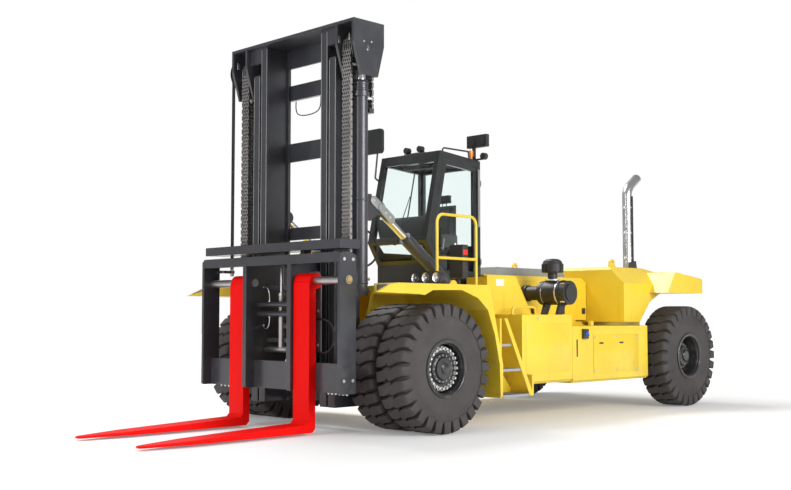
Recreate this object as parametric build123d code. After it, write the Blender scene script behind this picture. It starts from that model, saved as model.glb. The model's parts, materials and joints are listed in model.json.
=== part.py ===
from build123d import *
import math
import os

# Heavy forklift truck in millimetres, +X towards the fork tips, +Y to the truck's left, +Z up.
# Every X below is measured from the drive axle; save() moves the whole truck onto its own centre.

# Wheels and axles
WHEELBASE = 6220
TYRE_DIA = 1700
TYRE_WIDTH = 500
SHOULDER = 45
LUGS = 28
LUG_DEPTH = 55
LUG_SHARE = 0.66
BEAD_R = 342
RIM_WALL = 26
RIM_FLANGE = 40
RIM_LIP = 16
HALF_WIDTH = 2080
TWIN_GAP = 60
STEER_HALF_TRACK = 1720
AXLE_Z = TYRE_DIA / 2
DRIVE_HOUSING_R = 215
SPINDLE_R = 110
STEER_SPINDLE_R = 62
KINGPIN_R = 45
KINGPIN_INSET = 250
BEAM_END_R = 92
BEAM_HALF_X = 118
BEAM_HALF_Z = 145

# Fits
RUNNING = 0.05
SEAT_GAP = 0.3
OPEN_PIN_GAP = 9
MOVING_GAP = 15

# Mast
MAST_FRONT = 900
MAST_REAR = 460
MAST_FOOT_Z = 330
MAST_TOP_Z = 5430
OUTER_TOP_Z = MAST_TOP_Z - 430
OUTER_RAIL_Y = (755, 893)
INNER_RAIL_Y = (590, 722)
RAIL_FLANGE = 42
RAIL_WEB = 40
LIFT_TRAVEL = 2600
TILT_PIVOT = (360, 800)
TILT_PIN_R = 55
LIFT_CYLINDER = (690, 1150)
BARREL_R = 100
LIFT_ROD_R = 70
BARREL_FOOT_Z = 1800
BARREL_TOP_Z = MAST_TOP_Z - 830
CROSSHEAD_X = (430, 980)
CROSSHEAD_HALF_Y = 1331
CROSSHEAD_SIDE_Z = MAST_TOP_Z - 730
PLATE = 40
SHEAVE_Z = MAST_TOP_Z - 340
SHEAVE_R = 175
CHAIN_Y = (1020, 1190)
CHAIN_THICK = 40
CHAIN_ANCHOR_Z = 2330
CHAIN_BACK_ANCHOR_Z = MAST_TOP_Z - 1130

# Carriage and forks
CARRIAGE_FRONT = 1352
CARRIAGE_REAR = 1076
CARRIAGE_HALF_Y = 1493
END_PLATE = 45
CARRIAGE_Z = (553, 2340)
CARRIAGE_BEAM = 125
MIDDLE_PLATE_Y = (440, 520)
FORK_FACE = 1316
FORK_THICK = 110
FORK_WIDTH = 320
FORK_LENGTH = 2400
FORK_TIP_THICK = 26
FORK_Z = 30
FORK_TOP_Z = 2070
FORK_CENTRE_Y = 700
FORK_SHAFT = (1200, 1990)
FORK_SHAFT_R = 55
FORK_EYE_R = 104
FORK_TRAVEL = 560
POSITIONER = {"left": 1690, "right": 1560}
POSITIONER_X = 1130
POSITIONER_BARREL_R = 38
POSITIONER_ROD_R = 20

# Tilt cylinders, between the chassis foot and the lug on the outer mast
TILT_Y = 1000
TILT_FOOT = (-1220, 1965)
TILT_LUG = (240, 2990)
TILT_BARREL_R = 92
TILT_ROD_R = 50
TILT_EYE_R = 88
TILT_EYE_WIDTH = 62

# Body
DECK_Z = 1950
DECK_PLATE = 50
FENDER_Y = HALF_WIDTH - 30
FRAME_Y = (640, 700)
FRAME_Z = (550, 1450)
BOX_Y = (FRAME_Y[1] + SEAT_GAP, 1750)
BOX_SEAM = 6
TANK_FRONT_X = -1940
BOX_SPLIT_X = -3150
BOX_REAR_X = -WHEELBASE + 980
BOX_TOP_Z = 1370
HOOD_HALF_Y = 800
HOOD_X = (-WHEELBASE + 1360, -2300)
HOOD_Z = 1460
HOOD_TOP_Z = 2170
HOOD_SHEET = 20
HOOD_HINGE = (-825, 1560)
HOOD_HINGE_X = (HOOD_X[0] + 360, -3400)
HINGE_PIN_R = 12
CAB_Y = (-470, 770)
CAB_WALL = 60
COUNTER_HALF_Y = 1550
TAIL_HALF_Y = 1900
TAIL_X = -WHEELBASE - 560
WEIGHT_FRONT_X = -WHEELBASE + 1350
TOW_PIN_R = 30
TOW_PIN_X = TAIL_X - 100
LIFTING_EYE = (-WHEELBASE + 970, 1060, 2440)
EYE_R = 32

FORK_TIP = FORK_FACE + FORK_LENGTH
DRIVE_X = (WHEELBASE + TYRE_DIA / 2 - FORK_TIP) / 2
SIDES = (("left", 1), ("right", -1))


def block(x, y, z):
    """Box between two corners, each axis given as a pair."""
    size = [abs(pair[1] - pair[0]) for pair in (x, y, z)]
    middle = [(pair[0] + pair[1]) / 2 for pair in (x, y, z)]
    return Pos(*middle) * Box(*size)


def side_slab(outline, y):
    """Outline of (x, z) points, extruded along Y between the two values of y."""
    low, high = min(y), max(y)
    face = make_face(Polyline(*[(px, low, pz) for px, pz in outline], close=True))
    return extrude(face, amount=high - low, dir=(0, 1, 0))


def front_slab(outline, x):
    """Outline of (y, z) points, extruded along X between the two values of x."""
    low, high = min(x), max(x)
    face = make_face(Polyline(*[(low, py, pz) for py, pz in outline], close=True))
    return extrude(face, amount=high - low, dir=(1, 0, 0))


def plan_slab(outline, z):
    """Outline of (x, y) points, extruded along Z between the two values of z."""
    low, high = min(z), max(z)
    face = make_face(Polyline(*[(px, py, low) for px, py in outline], close=True))
    return extrude(face, amount=high - low, dir=(0, 0, 1))


def rod(start, end, radius):
    """Round bar between two points."""
    axis = Vector(*end) - Vector(*start)
    return Plane(origin=start, z_dir=axis) * extrude(Circle(radius), amount=axis.length)


def cross_bar(x, z, y, radius):
    """Round bar along Y."""
    return rod((x, min(y), z), (x, max(y), z), radius)


def turned(rings, x, z):
    """Rings of (inner radius, outer radius, y from, y to), turned about the line along Y at (x, z)."""
    solid = None
    for inner, outer, low, high in rings:
        ring = cross_bar(x, z, (low, high), outer)
        if inner:
            ring -= cross_bar(x, z, (low - 1, high + 1), inner)
        solid = ring if solid is None else solid + ring
    return solid


def pipe(points, radius, bend):
    """Round pipe along straight runs joined by bends of one radius."""
    path = FilletPolyline(*points, radius=bend)
    start = Plane(origin=path @ 0, z_dir=path % 0)
    return sweep(start * Circle(radius), path=path)


def flip(solid, side):
    """Put a piece that was made on the left onto the given side."""
    return solid if side > 0 else mirror(solid, about=Plane.XZ)


def both(solid):
    """The piece and its mirror image on the other side."""
    return Compound(children=[*solid.solids(), *mirror(solid, about=Plane.XZ).solids()])


def save(name, shape):
    """Write one node."""
    export_step(Pos(DRIVE_X, 0, 0) * shape, f"parts/{name}.step")


# Wheels


def lug_row():
    """Polygon of the tread's base with one chamfered lug across the tyre on each side."""
    half = TYRE_WIDTH / 2
    outer = TYRE_DIA / 2
    base = outer - LUG_DEPTH
    step = 2 * math.pi / LUGS
    corner = base / math.cos(step / 2)
    points = [((i + 0.5) * step, corner) for i in range(LUGS)]
    solid = side_slab([(r * math.sin(a), r * math.cos(a)) for a, r in points], (-half, half))
    wide = LUG_SHARE * base * math.tan(step / 2)
    section = [(-half, base - 40), (-half, base), (SHOULDER - half, outer)]
    section += [(-y, z) for y, z in reversed(section)]
    lug = front_slab(section, (-wide, wide))
    for i in range(LUGS):
        solid += lug.rotate(Axis.Y, math.degrees(i * step))
    return solid


def tyre(x, y):
    """One tyre with its lugs, centred at (x, y)."""
    half = TYRE_WIDTH / 2
    wall = half - RIM_LIP - 12
    tread_base = TYRE_DIA / 2 - LUG_DEPTH
    solid = lug_row()
    hollow = [(BEAD_R, -wall), (tread_base - 90, -half - 0.001), (tread_base - 90, -half - 20), (0, -half - 20)]
    hollow += [(0, half + 20), (tread_base - 90, half + 20), (tread_base - 90, half + 0.001), (BEAD_R, wall)]
    face = make_face(Polyline(*[(0, across, r) for r, across in hollow], close=True))
    return Pos(x, y, AXLE_Z) * (solid - revolve(face, axis=Axis.Y))


def rim_rings(y_low, y_high):
    """Barrel of one rim with a flange beside each bead."""
    barrel = BEAD_R - SEAT_GAP
    flange = BEAD_R + RIM_FLANGE
    return [
        (barrel - RIM_WALL, barrel, y_low, y_high),
        (barrel - RIM_WALL, flange, y_low, y_low + RIM_LIP),
        (barrel - RIM_WALL, flange, y_high - RIM_LIP, y_high),
    ]


OUTER_TWIN_Y = HALF_WIDTH - TYRE_WIDTH / 2
INNER_TWIN_Y = OUTER_TWIN_Y - TYRE_WIDTH - TWIN_GAP
RIM_HALF = TYRE_WIDTH / 2 - 6
HUB_R = 205
DISC_OUT = 95


def drive_wheel():
    """Twin rims of the left drive wheel on their planetary hub."""
    rings = rim_rings(INNER_TWIN_Y - RIM_HALF, INNER_TWIN_Y + RIM_HALF)
    rings += rim_rings(OUTER_TWIN_Y - RIM_HALF, OUTER_TWIN_Y + RIM_HALF)
    barrel = BEAD_R - SEAT_GAP
    bore = SPINDLE_R + RUNNING
    rings += [
        (barrel - RIM_WALL, barrel, INNER_TWIN_Y + RIM_HALF, OUTER_TWIN_Y - RIM_HALF),
        (HUB_R - 10, barrel - 10, OUTER_TWIN_Y + DISC_OUT, OUTER_TWIN_Y + DISC_OUT + 40),
        (bore, HUB_R, OUTER_TWIN_Y - 430, OUTER_TWIN_Y + 20),
        (0, HUB_R, OUTER_TWIN_Y + 20, OUTER_TWIN_Y + DISC_OUT + 65),
        (0, 150, OUTER_TWIN_Y + DISC_OUT + 65, OUTER_TWIN_Y + DISC_OUT + 100),
        (0, 70, OUTER_TWIN_Y + DISC_OUT + 100, OUTER_TWIN_Y + DISC_OUT + 120),
    ]
    return turned(rings, 0, AXLE_Z)


def steer_wheel():
    """Rim of the left steered wheel on its hub."""
    y = STEER_HALF_TRACK
    barrel = BEAD_R - SEAT_GAP
    bore = STEER_SPINDLE_R + RUNNING
    rings = rim_rings(y - RIM_HALF, y + RIM_HALF)
    rings += [
        (150, barrel - 10, y + 20, y + 60),
        (bore, 165, y - 70, y + 110),
        (0, 165, y + 110, y + 140),
        (0, 90, y + 140, y + 175),
    ]
    return turned(rings, -WHEELBASE, AXLE_Z)


def drive_axle():
    """Drive axle: housing, spindles inside the hubs and the differential's bowl."""
    reach = OUTER_TWIN_Y - 440
    housing = cross_bar(0, AXLE_Z, (-reach, reach), DRIVE_HOUSING_R)
    spindles = cross_bar(0, AXLE_Z, (-OUTER_TWIN_Y - 10, OUTER_TWIN_Y + 10), SPINDLE_R)
    bowl = Pos(-90, 0, AXLE_Z) * Sphere(330)
    nose = rod((-330, 0, AXLE_Z), (-620, 0, AXLE_Z), 120)
    return housing + spindles + bowl + nose


KINGPIN_Y = STEER_HALF_TRACK - KINGPIN_INSET
EAR = 50


def steer_axle():
    """Steer axle beam with an upright boss at each end and a mounting block in the middle."""
    solid = None
    for side in (1, -1):
        arm = plan_slab(
            [
                (-WHEELBASE - BEAM_HALF_X, 0),
                (-WHEELBASE + BEAM_HALF_X, 0),
                (-WHEELBASE + BEAM_HALF_X, side * (KINGPIN_Y - 300)),
                (-WHEELBASE + BEAM_END_R, side * KINGPIN_Y),
                (-WHEELBASE - BEAM_END_R, side * KINGPIN_Y),
                (-WHEELBASE - BEAM_HALF_X, side * (KINGPIN_Y - 300)),
            ],
            (AXLE_Z - BEAM_HALF_Z, AXLE_Z + BEAM_HALF_Z),
        )
        foot = (-WHEELBASE, side * KINGPIN_Y, AXLE_Z - BEAM_HALF_Z)
        head = (-WHEELBASE, side * KINGPIN_Y, AXLE_Z + BEAM_HALF_Z)
        arm += rod(foot, head, BEAM_END_R)
        arm -= rod(foot, head, KINGPIN_R + RUNNING)
        solid = arm if solid is None else solid + arm
    pad_x = (-WHEELBASE - 300, -WHEELBASE + 300)
    return solid + block(pad_x, (-240, 240), (AXLE_Z - 60, FRAME_Z[0] + 570))


def knuckle():
    """Left knuckle: kingpin, two ears, upright web and spindle."""
    x = -WHEELBASE
    y = KINGPIN_Y
    web_y = y + BEAM_END_R + MOVING_GAP
    ear_low = AXLE_Z - BEAM_HALF_Z - 6
    ear_high = AXLE_Z + BEAM_HALF_Z + 6
    solid = rod((x, y, ear_low - EAR), (x, y, ear_high + EAR), KINGPIN_R)
    for z in ((ear_low - EAR, ear_low), (ear_high, ear_high + EAR)):
        solid += rod((x, y, z[0]), (x, y, z[1]), BEAM_END_R)
        solid += block((x - BEAM_END_R, x + BEAM_END_R), (y, web_y + EAR), z)
    solid += block(
        (x - BEAM_END_R, x + BEAM_END_R), (web_y, web_y + EAR), (ear_low - EAR, ear_high + EAR)
    )
    end_y = STEER_HALF_TRACK + 100
    return solid + cross_bar(x, AXLE_Z, (web_y, end_y), STEER_SPINDLE_R)


# Mast


def rail(y, top, inward_only):
    """Left rail: a channel open towards the middle, or a beam open on both sides."""
    solid = block((MAST_REAR, MAST_FRONT), y, (MAST_FOOT_Z, top))
    inside_x = (MAST_REAR + RAIL_FLANGE, MAST_FRONT - RAIL_FLANGE)
    z = (MAST_FOOT_Z - 1, top + 1)
    if inward_only:
        return solid - block(inside_x, (y[0] - 1, y[1] - RAIL_WEB), z)
    middle = (y[0] + y[1]) / 2
    solid -= block(inside_x, (y[0] - 1, middle - RAIL_WEB / 2), z)
    return solid - block(inside_x, (middle + RAIL_WEB / 2, y[1] + 1), z)


def roller(y, z):
    """Roller between the flanges of a rail."""
    middle = (MAST_REAR + MAST_FRONT) / 2
    radius = (MAST_FRONT - MAST_REAR) / 2 - RAIL_FLANGE - SEAT_GAP
    return cross_bar(middle, z, y, radius)


# Cross members behind the outer rails: bottom and top heights
OUTER_MEMBERS = ((360, 560), (1250, 1430), (2620, 2800), (OUTER_TOP_Z - 340, OUTER_TOP_Z - 120))


def tilt_lug():
    """Clevis on the left outer rail that takes the tilt cylinder's eye."""
    x, z = TILT_LUG
    half_eye = TILT_EYE_WIDTH / 2 + 4
    inner = (OUTER_RAIL_Y[1], TILT_Y - half_eye)
    outer = (TILT_Y + half_eye, TILT_Y + half_eye + PLATE)
    cheek = TILT_EYE_R - 14
    root = (z - 180, z + 180)
    outline = [(MAST_REAR, root[1]), (x, z + cheek), (x, z - cheek), (MAST_REAR, root[0])]
    solid = side_slab(outline, inner) + cross_bar(x, z, inner, TILT_EYE_R)
    solid += side_slab(outline, outer) + cross_bar(x, z, outer, TILT_EYE_R)
    solid += block((MAST_REAR - 50, MAST_REAR), (OUTER_RAIL_Y[1], outer[1]), root)
    solid += block((MAST_REAR, MAST_REAR + 40), (OUTER_RAIL_Y[1] - 20, outer[1]), root)
    return solid + cross_bar(x, z, (inner[0], outer[1]), TILT_EYE_R - 52)


def mast_hanger():
    """Plate behind the left outer rail that hangs the mast on its tilt pin."""
    x, z = TILT_PIVOT
    y = (OUTER_RAIL_Y[0], OUTER_RAIL_Y[1] - 20)
    outline = [(MAST_REAR + 20, z + 330), (MAST_REAR, z + 330), (x - 60, z + 90), (x - 60, z - 90)]
    outline += [(MAST_REAR, z - 260), (MAST_REAR + 20, z - 260)]
    boss = cross_bar(x, z, y, TILT_PIN_R + 38)
    return side_slab(outline, y) + boss - cross_bar(x, z, (y[0] - 1, y[1] + 1), TILT_PIN_R + RUNNING)


def barrel_bracket(z):
    """Bracket that holds the left lift barrel beside the outer rail."""
    x, y = LIFT_CYLINDER
    solid = block((x - 70, x + 70), (OUTER_RAIL_Y[1], y), (z, z + 60))
    solid += rod((x, y, z), (x, y, z + 60), BARREL_R + 22)
    return solid - rod((x, y, z - 1), (x, y, z + 61), BARREL_R)


def chain_anchor():
    """Arm on the left outer rail that holds the back end of the lift chain."""
    x = LIFT_CYLINDER[0] - SHEAVE_R
    z = (CHAIN_BACK_ANCHOR_Z - 60, CHAIN_BACK_ANCHOR_Z)
    return block((x - 35, x + 45), (OUTER_RAIL_Y[1] - 20, CHAIN_Y[1]), z)


def outer_mast():
    """Outer mast: both channels, cross members, tilt hangers and lugs."""
    half = rail(OUTER_RAIL_Y, OUTER_TOP_Z, True)
    half += roller((INNER_RAIL_Y[1] - 38, OUTER_RAIL_Y[1] - RAIL_WEB), OUTER_TOP_Z - 200)
    half += mast_hanger() + tilt_lug() + chain_anchor()
    half += barrel_bracket(BARREL_FOOT_Z + 40) + barrel_bracket(BARREL_TOP_Z - 160)
    solid = half + mirror(half, about=Plane.XZ)
    for z in OUTER_MEMBERS:
        solid += block((MAST_REAR - 60, MAST_REAR), (-OUTER_RAIL_Y[1], OUTER_RAIL_Y[1]), z)
    return solid


# Cross members between the inner rails: bottom and top heights
INNER_MEMBERS = ((380, 540), (3750, 4020), (MAST_TOP_Z - 310, MAST_TOP_Z - PLATE))


def inner_mast():
    """Inner mast: both beams, cross members and the rollers in the outer channels."""
    middle = (INNER_RAIL_Y[0] + INNER_RAIL_Y[1]) / 2
    half = rail(INNER_RAIL_Y, MAST_TOP_Z - PLATE, False)
    half += roller((middle, OUTER_RAIL_Y[1] - RAIL_WEB - 8), MAST_FOOT_Z + 350)
    solid = half + mirror(half, about=Plane.XZ)
    for z in INNER_MEMBERS:
        solid += block((MAST_REAR, MAST_REAR + 32), (-middle, middle), z)
    return solid


def crosshead():
    """Crosshead on the inner mast: top plate and tapered plates round each chain sheave."""
    rear, front = CROSSHEAD_X
    x, y = LIFT_CYLINDER
    top = MAST_TOP_Z - PLATE
    outline = [
        (front, top),
        (rear, top),
        (rear, SHEAVE_Z + 30),
        (x - 150, CROSSHEAD_SIDE_Z),
        (x + 160, CROSSHEAD_SIDE_Z),
        (front, SHEAVE_Z + 30),
    ]
    gap = MOVING_GAP
    half = side_slab(outline, (CHAIN_Y[0] - gap - PLATE, CHAIN_Y[0] - gap))
    half += side_slab(outline, (CROSSHEAD_HALF_Y - PLATE, CROSSHEAD_HALF_Y))
    seat = (CROSSHEAD_SIDE_Z, CROSSHEAD_SIDE_Z + 70)
    half += block((x - 130, x + 130), (CHAIN_Y[0] - gap - PLATE, CROSSHEAD_HALF_Y), seat)
    half += block((MAST_REAR, MAST_FRONT), (INNER_RAIL_Y[1], CHAIN_Y[0] - gap), (top - 220, top))
    half -= cross_bar(x, SHEAVE_Z, (0, CROSSHEAD_HALF_Y), 45)
    solid = half + mirror(half, about=Plane.XZ)
    plate = block(CROSSHEAD_X, (-CROSSHEAD_HALF_Y, CROSSHEAD_HALF_Y), (top, MAST_TOP_Z))
    return solid + plate


def sheave():
    """Left chain sheave with its pin."""
    x = LIFT_CYLINDER[0]
    rings = [
        (0, SHEAVE_R, CHAIN_Y[0], CHAIN_Y[1]),
        (0, SHEAVE_R + 30, CHAIN_Y[0] - 8, CHAIN_Y[0]),
        (0, SHEAVE_R + 30, CHAIN_Y[1], CHAIN_Y[1] + 8),
        (0, 45, CHAIN_Y[0] - MOVING_GAP - PLATE, CROSSHEAD_HALF_Y),
    ]
    return turned(rings, x, SHEAVE_Z)


def chain_wrap():
    """The stretch of chain that lies over the left sheave."""
    x = LIFT_CYLINDER[0]
    outer = SHEAVE_R + SEAT_GAP + CHAIN_THICK
    ring = turned([(SHEAVE_R + SEAT_GAP, outer, CHAIN_Y[0] + 2, CHAIN_Y[1] - 2)], x, SHEAVE_Z)
    return ring & block((x - 300, x + 300), (CHAIN_Y[0], CHAIN_Y[1]), (SHEAVE_Z, SHEAVE_Z + 300))


def chain_run(front, z):
    """Straight stretch of the left chain on the front or the back of its sheave."""
    centre = LIFT_CYLINDER[0] + (1 if front else -1) * (SHEAVE_R + SEAT_GAP + CHAIN_THICK / 2)
    x = (centre - CHAIN_THICK / 2, centre + CHAIN_THICK / 2)
    return block(x, (CHAIN_Y[0] + 2, CHAIN_Y[1] - 2), z)


def lift_barrel():
    """Left lift cylinder's barrel, bored for its rod."""
    x, y = LIFT_CYLINDER
    solid = rod((x, y, BARREL_FOOT_Z), (x, y, BARREL_TOP_Z), BARREL_R)
    solid -= rod((x, y, BARREL_FOOT_Z + 60), (x, y, BARREL_TOP_Z - 90), LIFT_ROD_R + 10)
    return solid - rod((x, y, BARREL_TOP_Z - 91), (x, y, BARREL_TOP_Z + 1), LIFT_ROD_R + RUNNING)


def lift_rod():
    """Left lift cylinder's rod, from inside its barrel up to the crosshead."""
    x, y = LIFT_CYLINDER
    return rod((x, y, BARREL_FOOT_Z + 80), (x, y, CROSSHEAD_SIDE_Z), LIFT_ROD_R)


# Tilt cylinders

TILT_RUN = Vector(TILT_LUG[0] - TILT_FOOT[0], 0, TILT_LUG[1] - TILT_FOOT[1])
TILT_BARREL_LENGTH = 1130
TILT_ROD_START = 720


def along_tilt(distance):
    """Point on the left tilt cylinder's centre line, measured from its foot."""
    step = TILT_RUN.normalized() * distance
    return (TILT_FOOT[0] + step.X, TILT_Y, TILT_FOOT[1] + step.Z)


def tilt_barrel():
    """Left tilt barrel with the eye at its foot."""
    half = TILT_EYE_WIDTH / 2
    solid = rod(along_tilt(130), along_tilt(TILT_BARREL_LENGTH), TILT_BARREL_R)
    solid += rod(along_tilt(0), along_tilt(150), half)
    solid -= rod(along_tilt(200), along_tilt(TILT_BARREL_LENGTH - 80), TILT_ROD_R + 12)
    solid -= rod(
        along_tilt(TILT_BARREL_LENGTH - 81), along_tilt(TILT_BARREL_LENGTH + 1), TILT_ROD_R + RUNNING
    )
    solid += cross_bar(*TILT_FOOT, (TILT_Y - half, TILT_Y + half), TILT_EYE_R)
    return solid - cross_bar(*TILT_FOOT, (0, 2 * TILT_Y), TILT_EYE_R - 40 + RUNNING)


def tilt_rod():
    """Left tilt rod with the eye at the mast."""
    half = TILT_EYE_WIDTH / 2
    neck = TILT_RUN.length - TILT_EYE_R - 30
    solid = rod(along_tilt(TILT_ROD_START), along_tilt(neck), TILT_ROD_R)
    solid += rod(along_tilt(neck), along_tilt(TILT_RUN.length - 60), half)
    solid += cross_bar(*TILT_LUG, (TILT_Y - half, TILT_Y + half), TILT_EYE_R - 4)
    return solid - cross_bar(*TILT_LUG, (0, 2 * TILT_Y), TILT_EYE_R - 52 + OPEN_PIN_GAP)


# Carriage


def carriage_frame():
    """Carriage: end plates, top and bottom beams, middle plates and the roller arms."""
    low, high = CARRIAGE_Z
    end = [
        (CARRIAGE_FRONT, low + 20),
        (CARRIAGE_FRONT, high - 40),
        (CARRIAGE_FRONT - 40, high),
        (CARRIAGE_REAR + 80, high),
        (CARRIAGE_REAR, high - 40),
        (CARRIAGE_REAR, low),
        (CARRIAGE_FRONT - 20, low),
    ]
    half = side_slab(end, (CARRIAGE_HALF_Y - END_PLATE, CARRIAGE_HALF_Y))
    half += side_slab(end, MIDDLE_PLATE_Y)
    arm = [
        (CARRIAGE_REAR + 60, high + 30),
        (MAST_FRONT - 60, high + 30),
        (MAST_REAR + 100, high - 200),
        (MAST_REAR + 100, low + 120),
        (MAST_FRONT, low + 20),
        (CARRIAGE_REAR + 60, low + 20),
    ]
    half += side_slab(arm, MIDDLE_PLATE_Y)
    roller_y = (MIDDLE_PLATE_Y[1], (INNER_RAIL_Y[0] + INNER_RAIL_Y[1] - RAIL_WEB) / 2 - 8)
    for z in (low + 330, high - 360):
        half += roller(roller_y, z)
    half -= cross_bar(*FORK_SHAFT, (0, CARRIAGE_HALF_Y + 1), FORK_SHAFT_R)
    for z in POSITIONER.values():
        half -= cross_bar(POSITIONER_X, z, (0, CARRIAGE_HALF_Y / 2), POSITIONER_ROD_R + 6)
    solid = half + mirror(half, about=Plane.XZ)
    inside = (-CARRIAGE_HALF_Y + END_PLATE, CARRIAGE_HALF_Y - END_PLATE)
    solid += block((CARRIAGE_FRONT - 112, CARRIAGE_FRONT), inside, (high - CARRIAGE_BEAM, high))
    shank_back = FORK_FACE - FORK_THICK - 1
    return solid + block((CARRIAGE_REAR + 40, shank_back), inside, (low, low + 375))


def upper_beam():
    """Beam over the carriage that joins the roller arms."""
    low, high = CARRIAGE_Z
    outline = [(1321, 2391), (1321, 2509), (977, 2509), (977, 2391)]
    solid = side_slab(outline, (-1456, 1456))
    for side in (1, -1):
        y = [side * value for value in MIDDLE_PLATE_Y]
        solid += block((1000, 1120), y, (high + 30, 2400))
    return solid


def fork():
    """Left fork: shank with its eye on the shaft, heel and tapered blade."""
    back = FORK_FACE - FORK_THICK
    heel = FORK_Z + FORK_THICK
    outline = [
        (back, FORK_Z + 50),
        (back + 50, FORK_Z),
        (FORK_TIP, FORK_Z),
        (FORK_TIP, FORK_Z + FORK_TIP_THICK),
        (FORK_FACE + 45, heel),
        (FORK_FACE, heel + 45),
        (FORK_FACE, FORK_TOP_Z - 105),
        (FORK_FACE - 60, FORK_TOP_Z),
        (back, FORK_TOP_Z),
    ]
    y = (FORK_CENTRE_Y - FORK_WIDTH / 2, FORK_CENTRE_Y + FORK_WIDTH / 2)
    solid = side_slab(outline, y)
    solid += cross_bar(*FORK_SHAFT, y, FORK_EYE_R)
    solid -= cross_bar(*FORK_SHAFT, (y[0] - 1, y[1] + 1), FORK_SHAFT_R + RUNNING)
    plan = [
        (back - 300, y[0]),
        (FORK_TIP - 650, y[0]),
        (FORK_TIP - 60, FORK_CENTRE_Y - 65),
        (FORK_TIP, FORK_CENTRE_Y - 40),
        (FORK_TIP, FORK_CENTRE_Y + 40),
        (FORK_TIP - 60, FORK_CENTRE_Y + 65),
        (FORK_TIP - 650, y[1]),
        (back - 300, y[1]),
    ]
    return solid & plan_slab(plan, (0, FORK_TOP_Z + 200))


def positioner_barrels():
    """The two cylinders between the middle plates that spread the forks."""
    inside = MIDDLE_PLATE_Y[0]
    solids = []
    for name, side in SIDES:
        z = POSITIONER[name]
        barrel = cross_bar(POSITIONER_X, z, (-inside, inside), POSITIONER_BARREL_R)
        bore_y = (side * (inside + 1), side * (-inside + 40))
        barrel -= cross_bar(POSITIONER_X, z, bore_y, POSITIONER_ROD_R + RUNNING)
        solids += barrel.solids()
    return Compound(children=solids)


def positioner_rod(z):
    """Rod of the left positioner, with the lug that joins it to its fork."""
    lug_y = FORK_CENTRE_Y - FORK_WIDTH / 2 + 20
    y = (-MIDDLE_PLATE_Y[0] + 60, lug_y + 60)
    solid = cross_bar(POSITIONER_X, z, y, POSITIONER_ROD_R)
    return solid + block((POSITIONER_X - 40, FORK_FACE - FORK_THICK), (lug_y, lug_y + 60), (z - 40, z + 40))


# Chassis


def frame():
    """Chassis: two deep side plates, cross plates and the mast pins."""
    low, high = FRAME_Z
    rear_low = high - 330
    outline = [
        (TILT_PIVOT[0] + 30, 620),
        (TILT_PIVOT[0] + 75, 740),
        (TILT_PIVOT[0] + 75, 860),
        (TILT_PIVOT[0] + 30, 970),
        (150, 1350),
        (0, DECK_Z - DECK_PLATE),
        (-2200, DECK_Z - DECK_PLATE),
        (-2290, high),
        (TAIL_X + 300, high),
        (TAIL_X + 300, rear_low),
        (-WHEELBASE + 770, rear_low),
        (-WHEELBASE + 1070, low),
        (-400, low),
        (0, 600),
    ]
    half = side_slab(outline, FRAME_Y)
    half -= cross_bar(0, AXLE_Z, (0, 2 * FRAME_Y[1]), DRIVE_HOUSING_R)
    half += cross_bar(*TILT_PIVOT, (FRAME_Y[0], OUTER_RAIL_Y[1] - 10), TILT_PIN_R)
    solid = half + mirror(half, about=Plane.XZ)
    inside = (-FRAME_Y[0], FRAME_Y[0])
    for x, z in (
        (-800, (low, high)),
        (-2350, (low, high)),
        (-WHEELBASE + 1320, (low, high)),
        (-WHEELBASE + 620, (rear_low, high)),
        (-WHEELBASE - 200, (rear_low, high)),
    ):
        solid += block((x - 30, x + 30), inside, z)
    for x in HOOD_HINGE_X:
        for side in (1, -1):
            solid += block((x - 60, x + 60), (side * FRAME_Y[1], side * (HOOD_HALF_Y - 5)), (high - 40, HOOD_Z - SEAT_GAP))
    return solid


FENDER_TOP = [(1243, 1826), (1000, 1930), (860, DECK_Z), (-880, DECK_Z), (-1030, 1340)]
FENDER_TOP += [(-1150, 860), (-1140, 430)]
FENDER_ARCH = [(-1095, 430), (-1080, 864), (-980, 1274), (-836, 1613), (-631, 1773), (-311, 1875)]
FENDER_ARCH += [(248, 1866), (396, 1800), (506, 1812)]
FENDER_INNER_Y = 1530
DECK_FRONT = 100


def fender():
    """Left fender over the twin wheels: arched skin with the deck on top."""
    solid = side_slab(FENDER_TOP + FENDER_ARCH, (FENDER_INNER_Y, FENDER_Y))
    tip_x, tip_y = FENDER_TOP[0][0], FENDER_Y - 15
    low_y = FENDER_INNER_Y - 1
    solid -= plan_slab([(tip_x + 1, tip_y), (800, low_y), (tip_x + 1, low_y)], (1700, DECK_Z + 1))
    inner = [point for point in FENDER_TOP if point[0] < DECK_FRONT]
    arch = [point for point in FENDER_ARCH if point[0] < DECK_FRONT]
    inner = [(DECK_FRONT, DECK_Z)] + inner + arch + [(DECK_FRONT, 1870)]
    return solid + side_slab(inner, (FRAME_Y[1] + SEAT_GAP, FENDER_INNER_Y))


def deck():
    """Deck plate on the side plates, under the cab and in front of it."""
    y = FRAME_Y[1]
    solid = block((-2290, 0), (-y, y), (DECK_Z - DECK_PLATE, DECK_Z))
    return solid + block((-2290, -1400), (-900, 900), (DECK_Z - DECK_PLATE, DECK_Z))


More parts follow.
